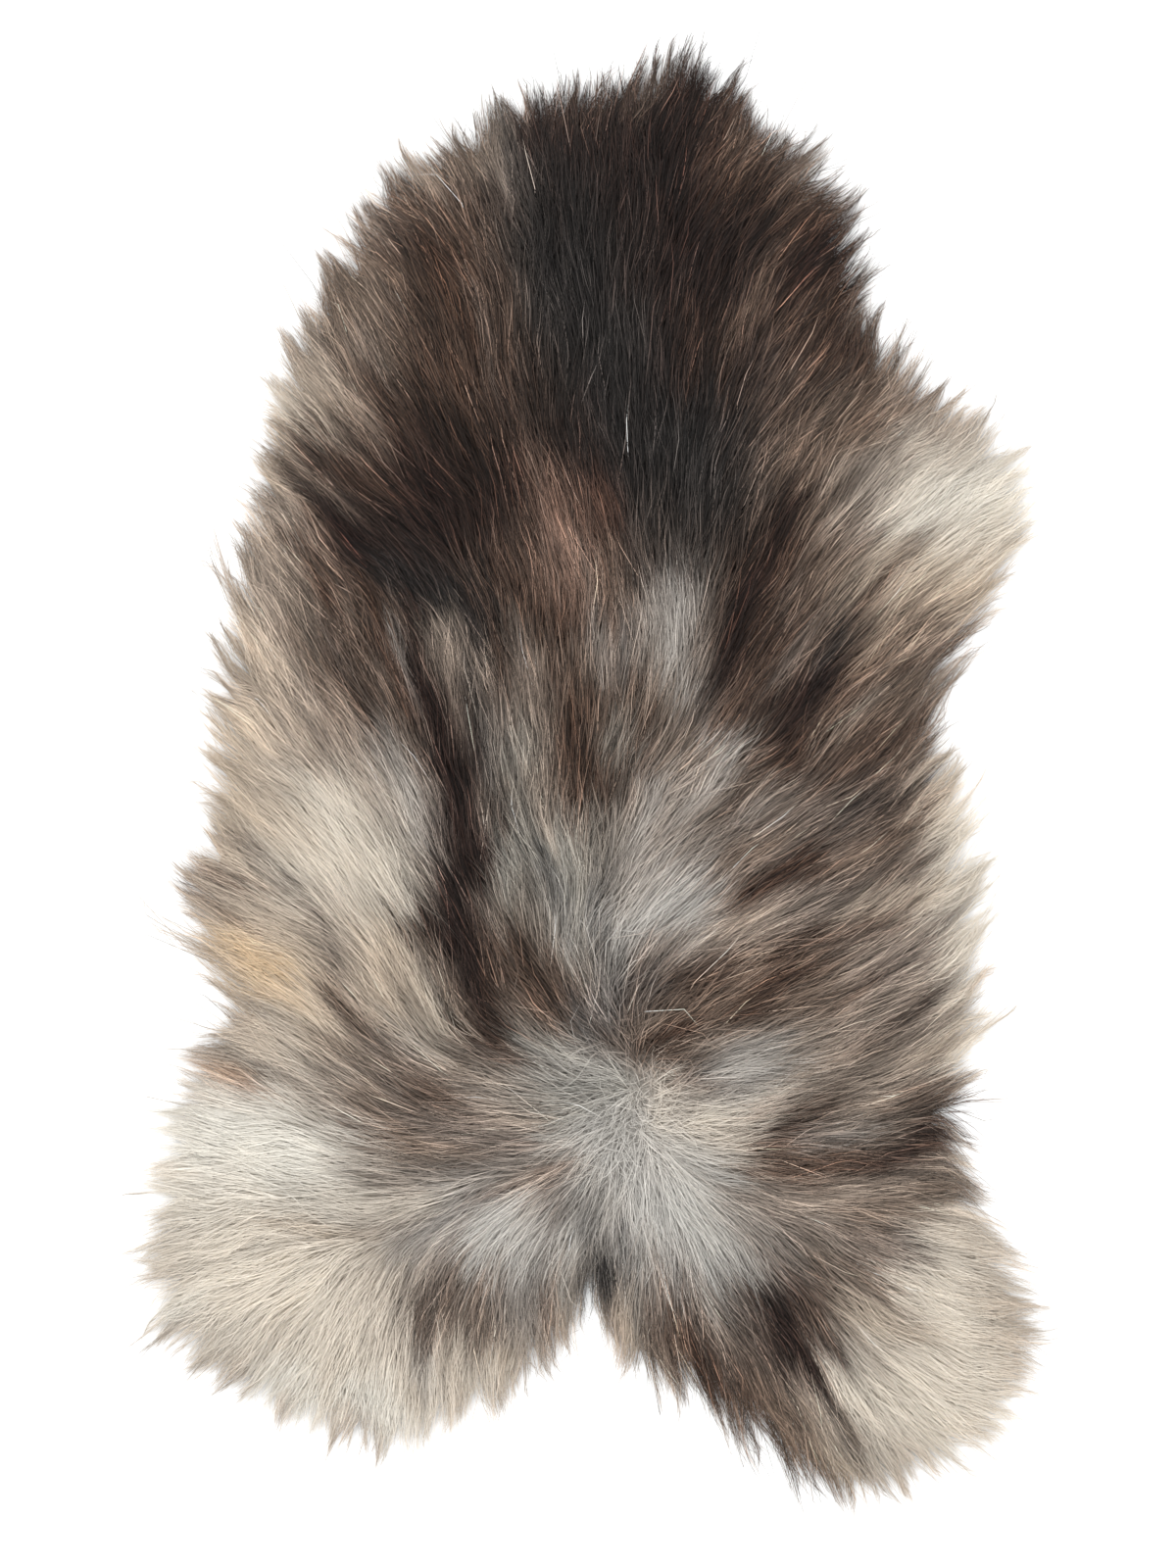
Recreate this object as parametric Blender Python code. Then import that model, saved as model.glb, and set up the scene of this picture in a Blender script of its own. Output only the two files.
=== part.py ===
"""Icelandic sheepskin lying flat, hair side up: one closed solid.

The skin is a lumpy slab as thick as its combed wool, flat underneath, with the long locks that reach past
the edge of the hide standing apart around its rim. The neck points along +Y, the hind legs along -Y, +Z is
up, and the origin is under the middle of the whole skin, on the surface it lies on. Run with
blender --background --python part.py, or from Blender's text editor.
"""

import math
from typing import NamedTuple

import bmesh
import bpy
import numpy as np
from mathutils import Vector
from mathutils.geometry import delaunay_2d_cdt

MM = 0.001

# Wool, measured square to the hide once it is combed flat.
CROWN_HEIGHT = 44 * MM
RIM_HEIGHT = 11 * MM
RIM_HEIGHT_SPREAD = 2.5 * MM
SHOULDER_WIDTH = 80 * MM

# Staples: the fingers of wool that lie along the combing and make the surface lumpy.
STAPLE_COUNT = 340
STAPLE_HALF_LENGTH = 36 * MM
STAPLE_HALF_WIDTH = 13 * MM
STAPLE_HEIGHT_LOW = 3.5 * MM
STAPLE_HEIGHT_HIGH = 9 * MM

# The wool parts along the back, in front of the whorl over the rump.
PARTING_FRONT = (6 * MM, -45 * MM)
PARTING_WHORL = (36 * MM, -248 * MM)
PARTING_HALF_WIDTH = 17 * MM
PARTING_DEPTH = 7 * MM

# Locks at the rim.
LOCK_WIDTH_LOW = 11 * MM
LOCK_WIDTH_HIGH = 25 * MM
LOCK_LENGTH_LOW = 0.66
LOCK_LENGTH_HIGH = 1.08
LOCK_BEND_DEGREES = 9
LOCK_MAX_SLANT_DEGREES = 60
LOCK_TIP_HEIGHT = 1.5 * MM

# Mesh fineness.
LATTICE_PITCH = 15.5 * MM
LATTICE_JITTER = 0.14
LATTICE_CLEARANCE = 9 * MM
CURVE_STEPS_PER_STATION = 24
COMB_SOFTNESS = 30 * MM
SEED = 11

WOOL_COLOUR = (0.30, 0.25, 0.20, 1.0)
WOOL_ROUGHNESS = 0.8


class RimStation(NamedTuple):
    """One place on the edge of the hide, in millimetres, and how far its hair reaches past it, and where."""

    x: float
    y: float
    reach: float
    heading: float


class CombStroke(NamedTuple):
    """The way the wool lies at one place inside the skin: millimetres, and degrees from +X towards +Y."""

    x: float
    y: float
    heading: float


class LockSection(NamedTuple):
    """One section of a lock: how far along it, and its width and height as shares of those at the root."""

    along: float
    width: float
    height: float


# Clockwise from the middle of the neck, seen from above.
RIM = (
    RimStation(74, 531, 45, 74),
    RimStation(104, 509, 50, 62),
    RimStation(137, 476, 44, 52),
    RimStation(182, 416, 46, 41),
    RimStation(195, 345, 38, 52),
    RimStation(220, 311, 46, 68),
    RimStation(250, 281, 42, 54),
    RimStation(287, 248, 57, 42),
    RimStation(306, 214, 44, 34),
    RimStation(310, 180, 50, 32),
    RimStation(287, 143, 46, 36),
    RimStation(265, 109, 43, 38),
    RimStation(250, 68, 40, 42),
    RimStation(246, 30, 43, 44),
    RimStation(254, -8, 46, 42),
    RimStation(269, -68, 46, 41),
    RimStation(272, -128, 45, 38),
    RimStation(269, -188, 44, 30),
    RimStation(261, -248, 43, 16),
    RimStation(258, -285, 43, -4),
    RimStation(269, -321, 44, -16),
    RimStation(290, -353, 44, -16),
    RimStation(310, -435, 42, -12),
    RimStation(301, -469, 50, -22),
    RimStation(276, -489, 50, -38),
    RimStation(209, -519, 48, -70),
    RimStation(175, -516, 54, -68),
    RimStation(141, -488, 56, -60),
    RimStation(111, -459, 50, -60),
    RimStation(81, -435, 42, -72),
    RimStation(47, -429, 45, -86),
    RimStation(25, -409, 50, -93),
    RimStation(14, -379, 27, -92),
    RimStation(-8, -370, 25, -90),
    RimStation(-27, -396, 44, -77),
    RimStation(-50, -431, 48, -78),
    RimStation(-84, -450, 52, -82),
    RimStation(-158, -480, 57, -92),
    RimStation(-193, -473, 56, -98),
    RimStation(-272, -435, 46, -130),
    RimStation(-302, -409, 48, -142),
    RimStation(-313, -375, 48, -152),
    RimStation(-305, -300, 43, -178),
    RimStation(-281, -225, 41, 172),
    RimStation(-263, -191, 37, 167),
    RimStation(-268, -158, 40, 160),
    RimStation(-283, -83, 50, 150),
    RimStation(-275, -41, 48, 142),
    RimStation(-268, 56, 41, 140),
    RimStation(-249, 165, 43, 128),
    RimStation(-227, 274, 45, 136),
    RimStation(-185, 379, 43, 130),
    RimStation(-155, 422, 47, 133),
    RimStation(-122, 458, 46, 122),
    RimStation(-39, 506, 42, 98),
)

COMBING = (
    CombStroke(0, 360, 90),
    CombStroke(-105, 300, 112),
    CombStroke(112, 320, 70),
    CombStroke(-10, 180, 98),
    CombStroke(-150, 150, 120),
    CombStroke(150, 150, 58),
    CombStroke(-130, 0, 118),
    CombStroke(150, 0, 38),
    CombStroke(20, 60, 88),
    CombStroke(-60, -90, 118),
    CombStroke(100, -110, 32),
    CombStroke(-170, -170, 140),
    CombStroke(150, -205, 20),
    CombStroke(-80, -250, 176),
    CombStroke(115, -262, 2),
    CombStroke(-170, -290, 182),
    CombStroke(90, -310, -38),
    CombStroke(34, -330, -90),
    CombStroke(-20, -300, -135),
    CombStroke(-110, -360, -112),
    CombStroke(140, -380, -60),
    CombStroke(230, -370, -22),
)

LOCK_SECTIONS = (
    LockSection(0.0, 1.0, 1.0),
    LockSection(0.42, 0.66, 0.72),
    LockSection(0.78, 0.30, 0.42),
)


def clear_scene() -> None:
    """Remove every object that the open scene holds."""
    for item in list(bpy.data.objects):
        bpy.data.objects.remove(item, do_unlink=True)


def unit_from_degrees(degrees: np.ndarray) -> np.ndarray:
    """Turn headings into unit vectors, one row each."""
    angle = np.radians(degrees)
    return np.stack([np.cos(angle), np.sin(angle)], axis=-1)


def unit(vectors: np.ndarray) -> np.ndarray:
    """Scale each row to length one."""
    return vectors / np.linalg.norm(vectors, axis=-1, keepdims=True)


def rim_curve() -> tuple[np.ndarray, np.ndarray, np.ndarray]:
    """Carry a smooth closed curve through the rim's stations.

    Each stretch is a Catmull-Rom cubic through its two stations, with the stations before and after them
    setting its slopes. Reach and heading follow the same cubic.

    Returns:
        The curve's points, the reach there, and the unit heading there.
    """
    table = np.array(RIM, dtype=float)
    headings = unit_from_degrees(table[:, 3])
    knots = np.column_stack([table[:, :3] * MM, headings])
    before, start = np.roll(knots, 1, axis=0), knots
    end, after = np.roll(knots, -1, axis=0), np.roll(knots, -2, axis=0)
    step = np.arange(CURVE_STEPS_PER_STATION) / CURVE_STEPS_PER_STATION
    t = step[None, :, None]
    blend = 0.5 * (
        2 * start[:, None]
        + (end - before)[:, None] * t
        + (2 * before - 5 * start + 4 * end - after)[:, None] * t**2
        + (3 * start - before - 3 * end + after)[:, None] * t**3
    )
    rows = blend.reshape(-1, knots.shape[1])
    return rows[:, :2], rows[:, 2], unit(rows[:, 3:5])


def comb_direction(places: np.ndarray) -> np.ndarray:
    """Find which way the wool lies at each place.

    Every comb stroke and rim station pulls the direction its own way, with a weight that falls with the
    square of its squared distance, softened by COMB_SOFTNESS.
    """
    rim = np.array(RIM, dtype=float)
    inner = np.array(COMBING, dtype=float)
    known = np.vstack([rim[:, :2], inner[:, :2]]) * MM
    headings = unit_from_degrees(np.concatenate([rim[:, 3], inner[:, 2]]))
    gap = ((places[:, None, :] - known[None, :, :]) ** 2).sum(axis=-1)
    weight = 1.0 / (gap + COMB_SOFTNESS**2) ** 2
    return unit(weight @ headings)


def divide_rim(rng: np.random.Generator) -> tuple[np.ndarray, np.ndarray, np.ndarray]:
    """Divide the rim into the roots of its locks, each a random width wide.

    Returns:
        The dividing points, and the reach and unit heading there.
    """
    curve, reach, heading = rim_curve()
    closed = np.vstack([curve, curve[:1]])
    run = np.concatenate([[0.0], np.cumsum(np.linalg.norm(np.diff(closed, axis=0), axis=1))])
    widths = rng.uniform(LOCK_WIDTH_LOW, LOCK_WIDTH_HIGH, size=2 * int(run[-1] / LOCK_WIDTH_HIGH))
    count = int(np.searchsorted(np.cumsum(widths), run[-1]))
    breaks = np.cumsum(widths[:count])
    breaks *= run[-1] / breaks[-1]
    places = np.concatenate([[0.0], breaks[:-1]])

    def along(values: np.ndarray) -> np.ndarray:
        ring = np.concatenate([values, values[:1]])
        return np.interp(places, run, ring)

    points = np.column_stack([along(curve[:, 0]), along(curve[:, 1])])
    headings = unit(np.column_stack([along(heading[:, 0]), along(heading[:, 1])]))
    return points, along(reach), headings


def distance_to_ring(places: np.ndarray, ring: np.ndarray) -> np.ndarray:
    """Measure the distance from each place to the nearest stretch of a closed ring of points."""
    start = ring[None, :, :]
    stretch = np.roll(ring, -1, axis=0)[None, :, :] - start
    share = ((places[:, None, :] - start) * stretch).sum(-1) / (stretch**2).sum(-1)
    nearest = start + np.clip(share, 0.0, 1.0)[..., None] * stretch
    return np.linalg.norm(places[:, None, :] - nearest, axis=-1).min(axis=1)


def inside_ring(places: np.ndarray, ring: np.ndarray) -> np.ndarray:
    """Say which places lie inside a closed ring, by counting the stretches that a ray along +X crosses."""
    start, end = ring[None, :, :], np.roll(ring, -1, axis=0)[None, :, :]
    x, y = places[:, None, 0], places[:, None, 1]
    spans = (start[..., 1] > y) != (end[..., 1] > y)
    rise = np.where(spans, end[..., 1] - start[..., 1], 1.0)
    crossing = start[..., 0] + (y - start[..., 1]) / rise * (end[..., 0] - start[..., 0])
    return (spans & (crossing > x)).sum(axis=1) % 2 == 1


def lattice_inside(ring: np.ndarray, rng: np.random.Generator) -> np.ndarray:
    """Fill the ring with a slightly shaken triangular lattice that keeps clear of its edge."""
    low, high = ring.min(axis=0), ring.max(axis=0)
    rows = np.arange(low[1], high[1], LATTICE_PITCH * math.sqrt(3) / 2)
    columns = np.arange(low[0], high[0], LATTICE_PITCH)
    grid_x = columns[None, :] + (np.arange(len(rows)) % 2)[:, None] * LATTICE_PITCH / 2
    grid_y = np.repeat(rows[:, None], len(columns), axis=1)
    places = np.column_stack([grid_x.ravel(), grid_y.ravel()])
    places += rng.uniform(-LATTICE_JITTER, LATTICE_JITTER, places.shape) * LATTICE_PITCH
    places = places[inside_ring(places, ring)]
    return places[distance_to_ring(places, ring) > LATTICE_CLEARANCE]


def staple_lumps(places: np.ndarray, ring: np.ndarray, rng: np.random.Generator) -> np.ndarray:
    """Add up the staples over each place.

    A staple is a low hump, a Gaussian that is long along the combing and narrow across it. The humps' mean
    is taken off, so that staples make hollows as well as ridges.
    """
    low, high = ring.min(axis=0), ring.max(axis=0)
    centres = rng.uniform(low, high, size=(STAPLE_COUNT, 2))
    heights = rng.uniform(STAPLE_HEIGHT_LOW, STAPLE_HEIGHT_HIGH, size=STAPLE_COUNT)
    lie = comb_direction(centres)
    offset = places[:, None, :] - centres[None, :, :]
    along = (offset * lie[None]).sum(-1) / STAPLE_HALF_LENGTH
    across = (offset[..., 0] * lie[None, :, 1] - offset[..., 1] * lie[None, :, 0]) / STAPLE_HALF_WIDTH
    lumps = (heights * np.exp(-(along**2) - across**2)).sum(axis=1)
    return lumps - lumps.mean()


def parting_furrow(places: np.ndarray) -> np.ndarray:
    """Sink a soft furrow along the line where the wool parts over the back."""
    front, whorl = np.array(PARTING_FRONT), np.array(PARTING_WHORL)
    line = whorl - front
    share = np.clip(((places - front) @ line) / (line @ line), 0.0, 1.0)
    gap = np.linalg.norm(places - front - share[:, None] * line, axis=1)
    return -PARTING_DEPTH * np.exp(-((gap / PARTING_HALF_WIDTH) ** 2))


def top_heights(places: np.ndarray, ring: np.ndarray, rng: np.random.Generator) -> np.ndarray:
    """Give the height of the wool over each place inside the ring.

    It swells from the rim to the crown over the shoulder's width, as a quarter of an ellipse does, and
    carries the staples and the furrow, which fade out towards the rim.
    """
    share = np.clip(distance_to_ring(places, ring) / SHOULDER_WIDTH, 0.0, 1.0)
    swell = np.sqrt(1.0 - (1.0 - share) ** 2)
    relief = staple_lumps(places, ring, rng) + parting_furrow(places)
    return RIM_HEIGHT + (CROWN_HEIGHT - RIM_HEIGHT) * swell + relief * share


def build_slab(ring: np.ndarray, rng: np.random.Generator) -> tuple[bmesh.types.BMesh, list]:
    """Build the closed slab: lumpy top, upright side and flat underside.

    Args:
        ring: the roots of the locks, in order around the rim.
        rng: the seeded source of everything uneven.

    Returns:
        The slab's mesh, and the side faces, one for each lock.
    """
    inner = lattice_inside(ring, rng)
    count = len(ring)
    flat = np.vstack([ring, inner])
    edges = [(i, (i + 1) % count) for i in range(count)]
    flat_points = [Vector(point) for point in flat]
    places, _, faces, sources, _, _ = delaunay_2d_cdt(flat_points, edges, [], 1, 1e-7)
    rim_heights = RIM_HEIGHT + rng.uniform(-RIM_HEIGHT_SPREAD, RIM_HEIGHT_SPREAD, size=count)
    heights = np.concatenate([rim_heights, top_heights(inner, ring, rng)])

    slab = bmesh.new()
    vertices = []
    for place, source in zip(places, sources):
        vertices.append(slab.verts.new((place.x, place.y, heights[source[0]])))
    for face in faces:
        slab.faces.new([vertices[index] for index in face])
    rim_edges = [edge for edge in slab.edges if len(edge.link_faces) == 1]
    side = bmesh.ops.extrude_edge_only(slab, edges=rim_edges)["geom"]
    for item in side:
        if isinstance(item, bmesh.types.BMVert):
            item.co.z = 0.0
    walls = [item for item in side if isinstance(item, bmesh.types.BMFace)]
    floor_edges = [edge for edge in slab.edges if len(edge.link_faces) == 1]
    bmesh.ops.contextual_create(slab, geom=floor_edges)
    bmesh.ops.recalc_face_normals(slab, faces=slab.faces[:])
    return slab, walls


def lock_heading(wanted: np.ndarray, outward: np.ndarray) -> np.ndarray:
    """Keep a lock's heading within the steepest slant to the rim that still leaves it some width."""
    turn = math.atan2(outward[0] * wanted[1] - outward[1] * wanted[0], float(outward @ wanted))
    limit = math.radians(LOCK_MAX_SLANT_DEGREES)
    turn = min(max(turn, -limit), limit)
    base = math.atan2(outward[1], outward[0])
    return np.array([math.cos(base + turn), math.sin(base + turn)])


def grow_lock(
    slab: bmesh.types.BMesh, wall: bmesh.types.BMFace, heading: np.ndarray, length: float, bend: float
) -> None:
    """Draw one side face out into a lock that narrows, thins, bends a little and ends in a point.

    Args:
        slab: the mesh being built.
        wall: the side face that is the lock's root.
        heading: unit vector of the lock's first run.
        length: the lock's length in metres.
        bend: how far the lock turns between its root and its tip, in radians.
    """
    root = wall.calc_center_median()
    face = wall
    centre = np.array([root.x, root.y])
    angle = math.atan2(heading[1], heading[0])
    for last, section in zip(LOCK_SECTIONS, LOCK_SECTIONS[1:]):
        face = bmesh.ops.extrude_discrete_faces(slab, faces=[face])["faces"][0]
        middle = angle + bend * (last.along + section.along) / 2
        run = length * (section.along - last.along)
        moved = centre + run * np.array([math.cos(middle), math.sin(middle)])
        width, height = section.width / last.width, section.height / last.height
        for vertex in face.verts:
            flat = moved + (np.array(vertex.co[:2]) - centre) * width
            vertex.co = (flat[0], flat[1], vertex.co.z * height)
        centre = moved
    tip_angle = angle + bend
    run = length * (1.0 - LOCK_SECTIONS[-1].along)
    tip = bmesh.ops.poke(slab, faces=[face])["verts"][0]
    tip.co = (centre[0] + run * math.cos(tip_angle), centre[1] + run * math.sin(tip_angle), LOCK_TIP_HEIGHT)


def grow_locks(
    slab: bmesh.types.BMesh, walls: list, ring: np.ndarray, reach: np.ndarray, headings: np.ndarray,
    rng: np.random.Generator,
) -> None:
    """Grow a lock from every side face, in order around the rim."""
    middles = (ring + np.roll(ring, -1, axis=0)) / 2
    places = np.array([wall.calc_center_median()[:2] for wall in walls])
    order = [int(np.argmin(np.linalg.norm(places - middle, axis=1))) for middle in middles]
    for index, wall_index in enumerate(order):
        wall = walls[wall_index]
        outward = unit(np.array(wall.normal[:2]))
        following = (index + 1) % len(ring)
        wanted = unit(headings[index] + headings[following])
        length = (reach[index] + reach[following]) / 2 * rng.uniform(LOCK_LENGTH_LOW, LOCK_LENGTH_HIGH)
        bend = math.radians(rng.uniform(-LOCK_BEND_DEGREES, LOCK_BEND_DEGREES))
        grow_lock(slab, wall, lock_heading(wanted, outward), length, bend)


def centre_on_floor(slab: bmesh.types.BMesh) -> None:
    """Move the whole skin so that the middle of its box is over the origin."""
    places = np.array([vertex.co[:] for vertex in slab.verts])
    middle = (places.min(axis=0) + places.max(axis=0)) / 2
    bmesh.ops.translate(slab, verts=slab.verts[:], vec=(-middle[0], -middle[1], 0.0))


def wool_material() -> bpy.types.Material:
    """Make the plain wool colour that the solid carries."""
    material = bpy.data.materials.new("wool")
    material.use_nodes = True
    shader = material.node_tree.nodes["Principled BSDF"]
    shader.inputs["Base Color"].default_value = WOOL_COLOUR
    shader.inputs["Roughness"].default_value = WOOL_ROUGHNESS
    shader.inputs["Metallic"].default_value = 0.0
    return material


def build_pelt() -> bpy.types.Object:
    """Build the whole sheepskin as one object."""
    rng = np.random.default_rng(SEED)
    ring, reach, headings = divide_rim(rng)
    slab, walls = build_slab(ring, rng)
    grow_locks(slab, walls, ring, reach, headings, rng)
    centre_on_floor(slab)
    mesh = bpy.data.meshes.new("pelt")
    slab.to_mesh(mesh)
    slab.free()
    mesh.materials.append(wool_material())
    pelt = bpy.data.objects.new("pelt", mesh)
    bpy.context.scene.collection.objects.link(pelt)
    return pelt


clear_scene()
build_pelt()
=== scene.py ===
"""Icelandic sheepskin laid flat, hair side up.

The tanned skin is a thin leather sheet. On it grow a dense undercoat, long outer wool in locks and single
guard hairs, all combed out from a whorl over the rump and a parting along the back. Lengths are in metres,
+Y points to the neck and +Z up. The way the wool lies, its markings and the reach of its fringe were set
from the reference picture, as comb strokes, brush strokes and places in that picture's pixels. They were
corrected with the help of measured differences between the picture and renders.
"""

from __future__ import annotations

import logging
import math
from dataclasses import dataclass, field
from enum import Enum
from typing import Any, NamedTuple

import bpy
import numpy as np
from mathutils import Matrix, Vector
from mathutils.bvhtree import BVHTree


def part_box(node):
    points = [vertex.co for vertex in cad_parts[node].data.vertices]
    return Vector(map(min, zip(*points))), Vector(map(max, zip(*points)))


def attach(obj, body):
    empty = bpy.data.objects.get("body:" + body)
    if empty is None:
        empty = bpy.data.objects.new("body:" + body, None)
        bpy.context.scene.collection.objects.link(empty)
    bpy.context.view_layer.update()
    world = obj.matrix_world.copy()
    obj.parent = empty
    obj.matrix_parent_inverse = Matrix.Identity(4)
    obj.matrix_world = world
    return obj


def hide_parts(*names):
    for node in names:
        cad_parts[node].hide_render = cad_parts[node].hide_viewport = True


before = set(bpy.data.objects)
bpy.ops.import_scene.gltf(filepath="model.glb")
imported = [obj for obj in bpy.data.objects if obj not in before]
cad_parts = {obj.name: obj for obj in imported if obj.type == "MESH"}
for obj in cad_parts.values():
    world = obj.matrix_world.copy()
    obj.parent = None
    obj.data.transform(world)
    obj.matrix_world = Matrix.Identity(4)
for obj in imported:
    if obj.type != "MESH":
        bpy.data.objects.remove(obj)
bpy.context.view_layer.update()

log = logging.getLogger("sheepskin")

MM = 0.001
PHOTO_PIXEL = 0.75 * MM
PHOTO_SIZE = (1200, 1600)
PHOTO_PIXEL_OVER_ORIGIN = (598.6, 793.1)
HUB_PIXEL = (600, 930)
BAKE_MAP = "OFBake"
TONE = "tone"
NOISE_LOW = 0.3
NOISE_HIGH = 0.7
STREAK_MIX = (0.6, 0.8)
CELL_SIDE = 0.12
CELL_END = 0.04
CELL_RATIO = 5


class Comb(NamedTuple):
    """The way the wool lies at one pixel of the picture, in degrees from +X towards +Y."""

    photo_x: float
    photo_y: float
    heading: float


class Reach(NamedTuple):
    """How many millimetres further the wool reaches beside a place in the picture than the solid's locks."""

    x: float
    y: float
    extra: float


class Tone(Enum):
    """Wool colours as sRGB hex values."""

    BLACK = "#120d0b"
    SOOT = "#1f1512"
    COAL = "#232120"
    UMBER = "#382921"
    BROWN = "#54443a"
    EARTH = "#705f52"
    RUST = "#6e4838"
    ROSE = "#957869"
    STEEL = "#6a6866"
    TAUPE = "#7c7067"
    OLIVE = "#8f8c84"
    MUSHROOM = "#988a7d"
    ASH = "#b0aaa3"
    SILVER = "#c3c0ba"
    OAT = "#c3b3a0"
    STRAW = "#cbb08c"
    CREAM = "#dcd3c5"
    IVORY = "#e2dfd6"


class Brush(NamedTuple):
    """One soft brush stroke of wool colour between two pixels of the picture."""

    from_x: float
    from_y: float
    to_x: float
    to_y: float
    width: float
    tone: Tone
    strength: float


(
    BLACK, SOOT, COAL, UMBER, BROWN, EARTH, RUST, ROSE, STEEL, TAUPE, OLIVE, MUSHROOM, ASH, SILVER, OAT,
    STRAW, CREAM, IVORY,
) = Tone

# The columns of the tables below are those of the classes above.
COMBING = tuple(Comb(*row) for row in (
    (600, 90, 92), (540, 100, 98), (650, 70, 84), (700, 75, 74), (745, 95, 60), (785, 140, 50),
    (840, 180, 42), (870, 230, 42), (880, 280, 46), (905, 350, 74), (930, 370, 66), (965, 400, 52),
    (500, 130, 104), (450, 160, 122), (400, 190, 134), (370, 240, 142), (330, 290, 122), (300, 340, 120),
    (275, 400, 138), (255, 440, 150), (250, 490, 142), (245, 540, 118), (350, 330, 116), (420, 240, 128),
    (480, 200, 108), (560, 200, 95), (650, 200, 88), (740, 200, 66), (800, 220, 48), (450, 350, 108),
    (380, 400, 118), (320, 420, 130), (520, 350, 100), (600, 350, 91), (700, 350, 84), (760, 320, 66),
    (820, 330, 54), (860, 400, 46), (450, 470, 118), (370, 500, 134), (300, 490, 142), (530, 470, 105),
    (600, 480, 108), (680, 470, 92), (740, 450, 80), (800, 440, 60), (850, 450, 46), (910, 440, 37),
    (960, 480, 36), (1020, 440, 44), (1040, 500, 30), (1050, 560, 35), (1000, 580, 40), (930, 560, 42),
    (850, 550, 50), (790, 560, 66), (730, 560, 78), (660, 560, 100), (590, 570, 106), (520, 570, 106),
    (430, 570, 124), (360, 570, 134), (300, 560, 120), (260, 600, 120), (230, 640, 124), (290, 640, 122),
    (350, 650, 118), (410, 650, 113), (470, 660, 104), (540, 650, 99), (610, 650, 96), (680, 640, 92),
    (740, 640, 70), (800, 630, 57), (860, 630, 50), (920, 620, 42), (980, 640, 38), (1010, 620, 38),
    (240, 700, 140), (300, 720, 128), (360, 730, 121), (420, 740, 112), (480, 750, 104), (550, 740, 98),
    (620, 730, 86), (680, 710, 72), (740, 710, 60), (800, 700, 52), (870, 700, 48), (930, 700, 42),
    (970, 720, 52), (220, 780, 148), (280, 790, 138), (350, 800, 126), (420, 800, 114), (480, 820, 104),
    (550, 800, 100), (600, 800, 94), (650, 790, 66), (710, 780, 46), (780, 780, 37), (850, 780, 38),
    (920, 790, 38), (970, 800, 44), (200, 840, 140), (250, 860, 142), (320, 860, 134), (390, 870, 120),
    (450, 880, 108), (510, 870, 112), (570, 870, 112), (620, 860, 80), (680, 850, 40), (750, 850, 32),
    (830, 850, 34), (900, 860, 36), (970, 870, 44), (190, 900, 148), (240, 920, 158), (300, 920, 152),
    (360, 930, 132), (420, 950, 114), (470, 950, 112), (520, 950, 120), (580, 950, 104), (640, 930, 52),
    (710, 930, 33), (790, 930, 28), (870, 930, 32), (950, 940, 38), (1000, 930, 44), (210, 990, 156),
    (260, 1000, 158), (320, 1000, 142), (380, 1010, 128), (440, 1020, 112), (490, 1030, 118),
    (550, 1030, 128), (610, 1020, 110), (660, 1010, 45), (730, 1000, 22), (800, 1000, 23), (880, 1010, 30),
    (950, 1010, 38), (1000, 1010, 42), (220, 1060, 168), (280, 1060, 158), (340, 1070, 140),
    (400, 1080, 145), (460, 1090, 158), (520, 1090, 160), (580, 1090, 165), (630, 1090, 150),
    (670, 1070, 35), (730, 1070, 18), (800, 1070, 18), (880, 1070, 24), (950, 1080, 34), (990, 1070, 36),
    (190, 1120, 168), (250, 1130, 166), (320, 1130, 146), (380, 1140, 160), (450, 1140, 172),
    (520, 1140, 176), (590, 1140, 182), (700, 1125, 8), (750, 1120, 14), (820, 1120, 22), (890, 1120, 14),
    (950, 1120, 14), (990, 1120, 14), (160, 1190, 178), (220, 1190, 176), (290, 1190, 166),
    (360, 1190, 168), (430, 1190, 178), (500, 1190, 186), (560, 1190, 202), (610, 1185, 222),
    (650, 1200, 268), (690, 1180, -30), (740, 1175, -6), (810, 1175, 8), (880, 1170, 10), (940, 1160, 14),
    (980, 1165, -28), (1000, 1190, -38), (160, 1250, 192), (230, 1250, 198), (300, 1240, 178),
    (350, 1245, 166), (410, 1240, 200), (470, 1245, 214), (530, 1240, 224), (590, 1240, 242),
    (650, 1250, 270), (710, 1230, -45), (770, 1225, -22), (840, 1225, 0), (910, 1240, 4), (970, 1235, -8),
    (1020, 1250, -32), (150, 1300, 206), (220, 1310, 202), (290, 1300, 208), (350, 1300, 232),
    (410, 1300, 250), (470, 1300, 254), (530, 1300, 258), (585, 1300, 270), (640, 1300, 272),
    (700, 1290, -76), (760, 1280, -58), (820, 1280, -46), (880, 1280, -24), (950, 1290, -14),
    (1020, 1300, -14), (150, 1360, 214), (210, 1370, 222), (280, 1370, 236), (350, 1370, 256),
    (410, 1370, 264), (470, 1370, 270), (530, 1360, 276), (580, 1350, 284), (635, 1370, 268),
    (690, 1360, -82), (750, 1360, -64), (810, 1350, -62), (870, 1350, -45), (940, 1360, -24),
    (1020, 1370, -10), (210, 1420, 228), (280, 1430, 246), (350, 1450, 262), (400, 1470, 268),
    (450, 1450, 272), (500, 1430, 280), (550, 1410, 282), (650, 1410, 266), (700, 1400, -76),
    (750, 1430, -70), (800, 1460, -68), (860, 1430, -62), (920, 1430, -42), (990, 1430, -22),
    (1050, 1430, -14), (830, 1510, -64), (870, 1530, -76), (920, 1520, -64), (960, 1480, -42),
    (1010, 1470, -28),
))

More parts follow.
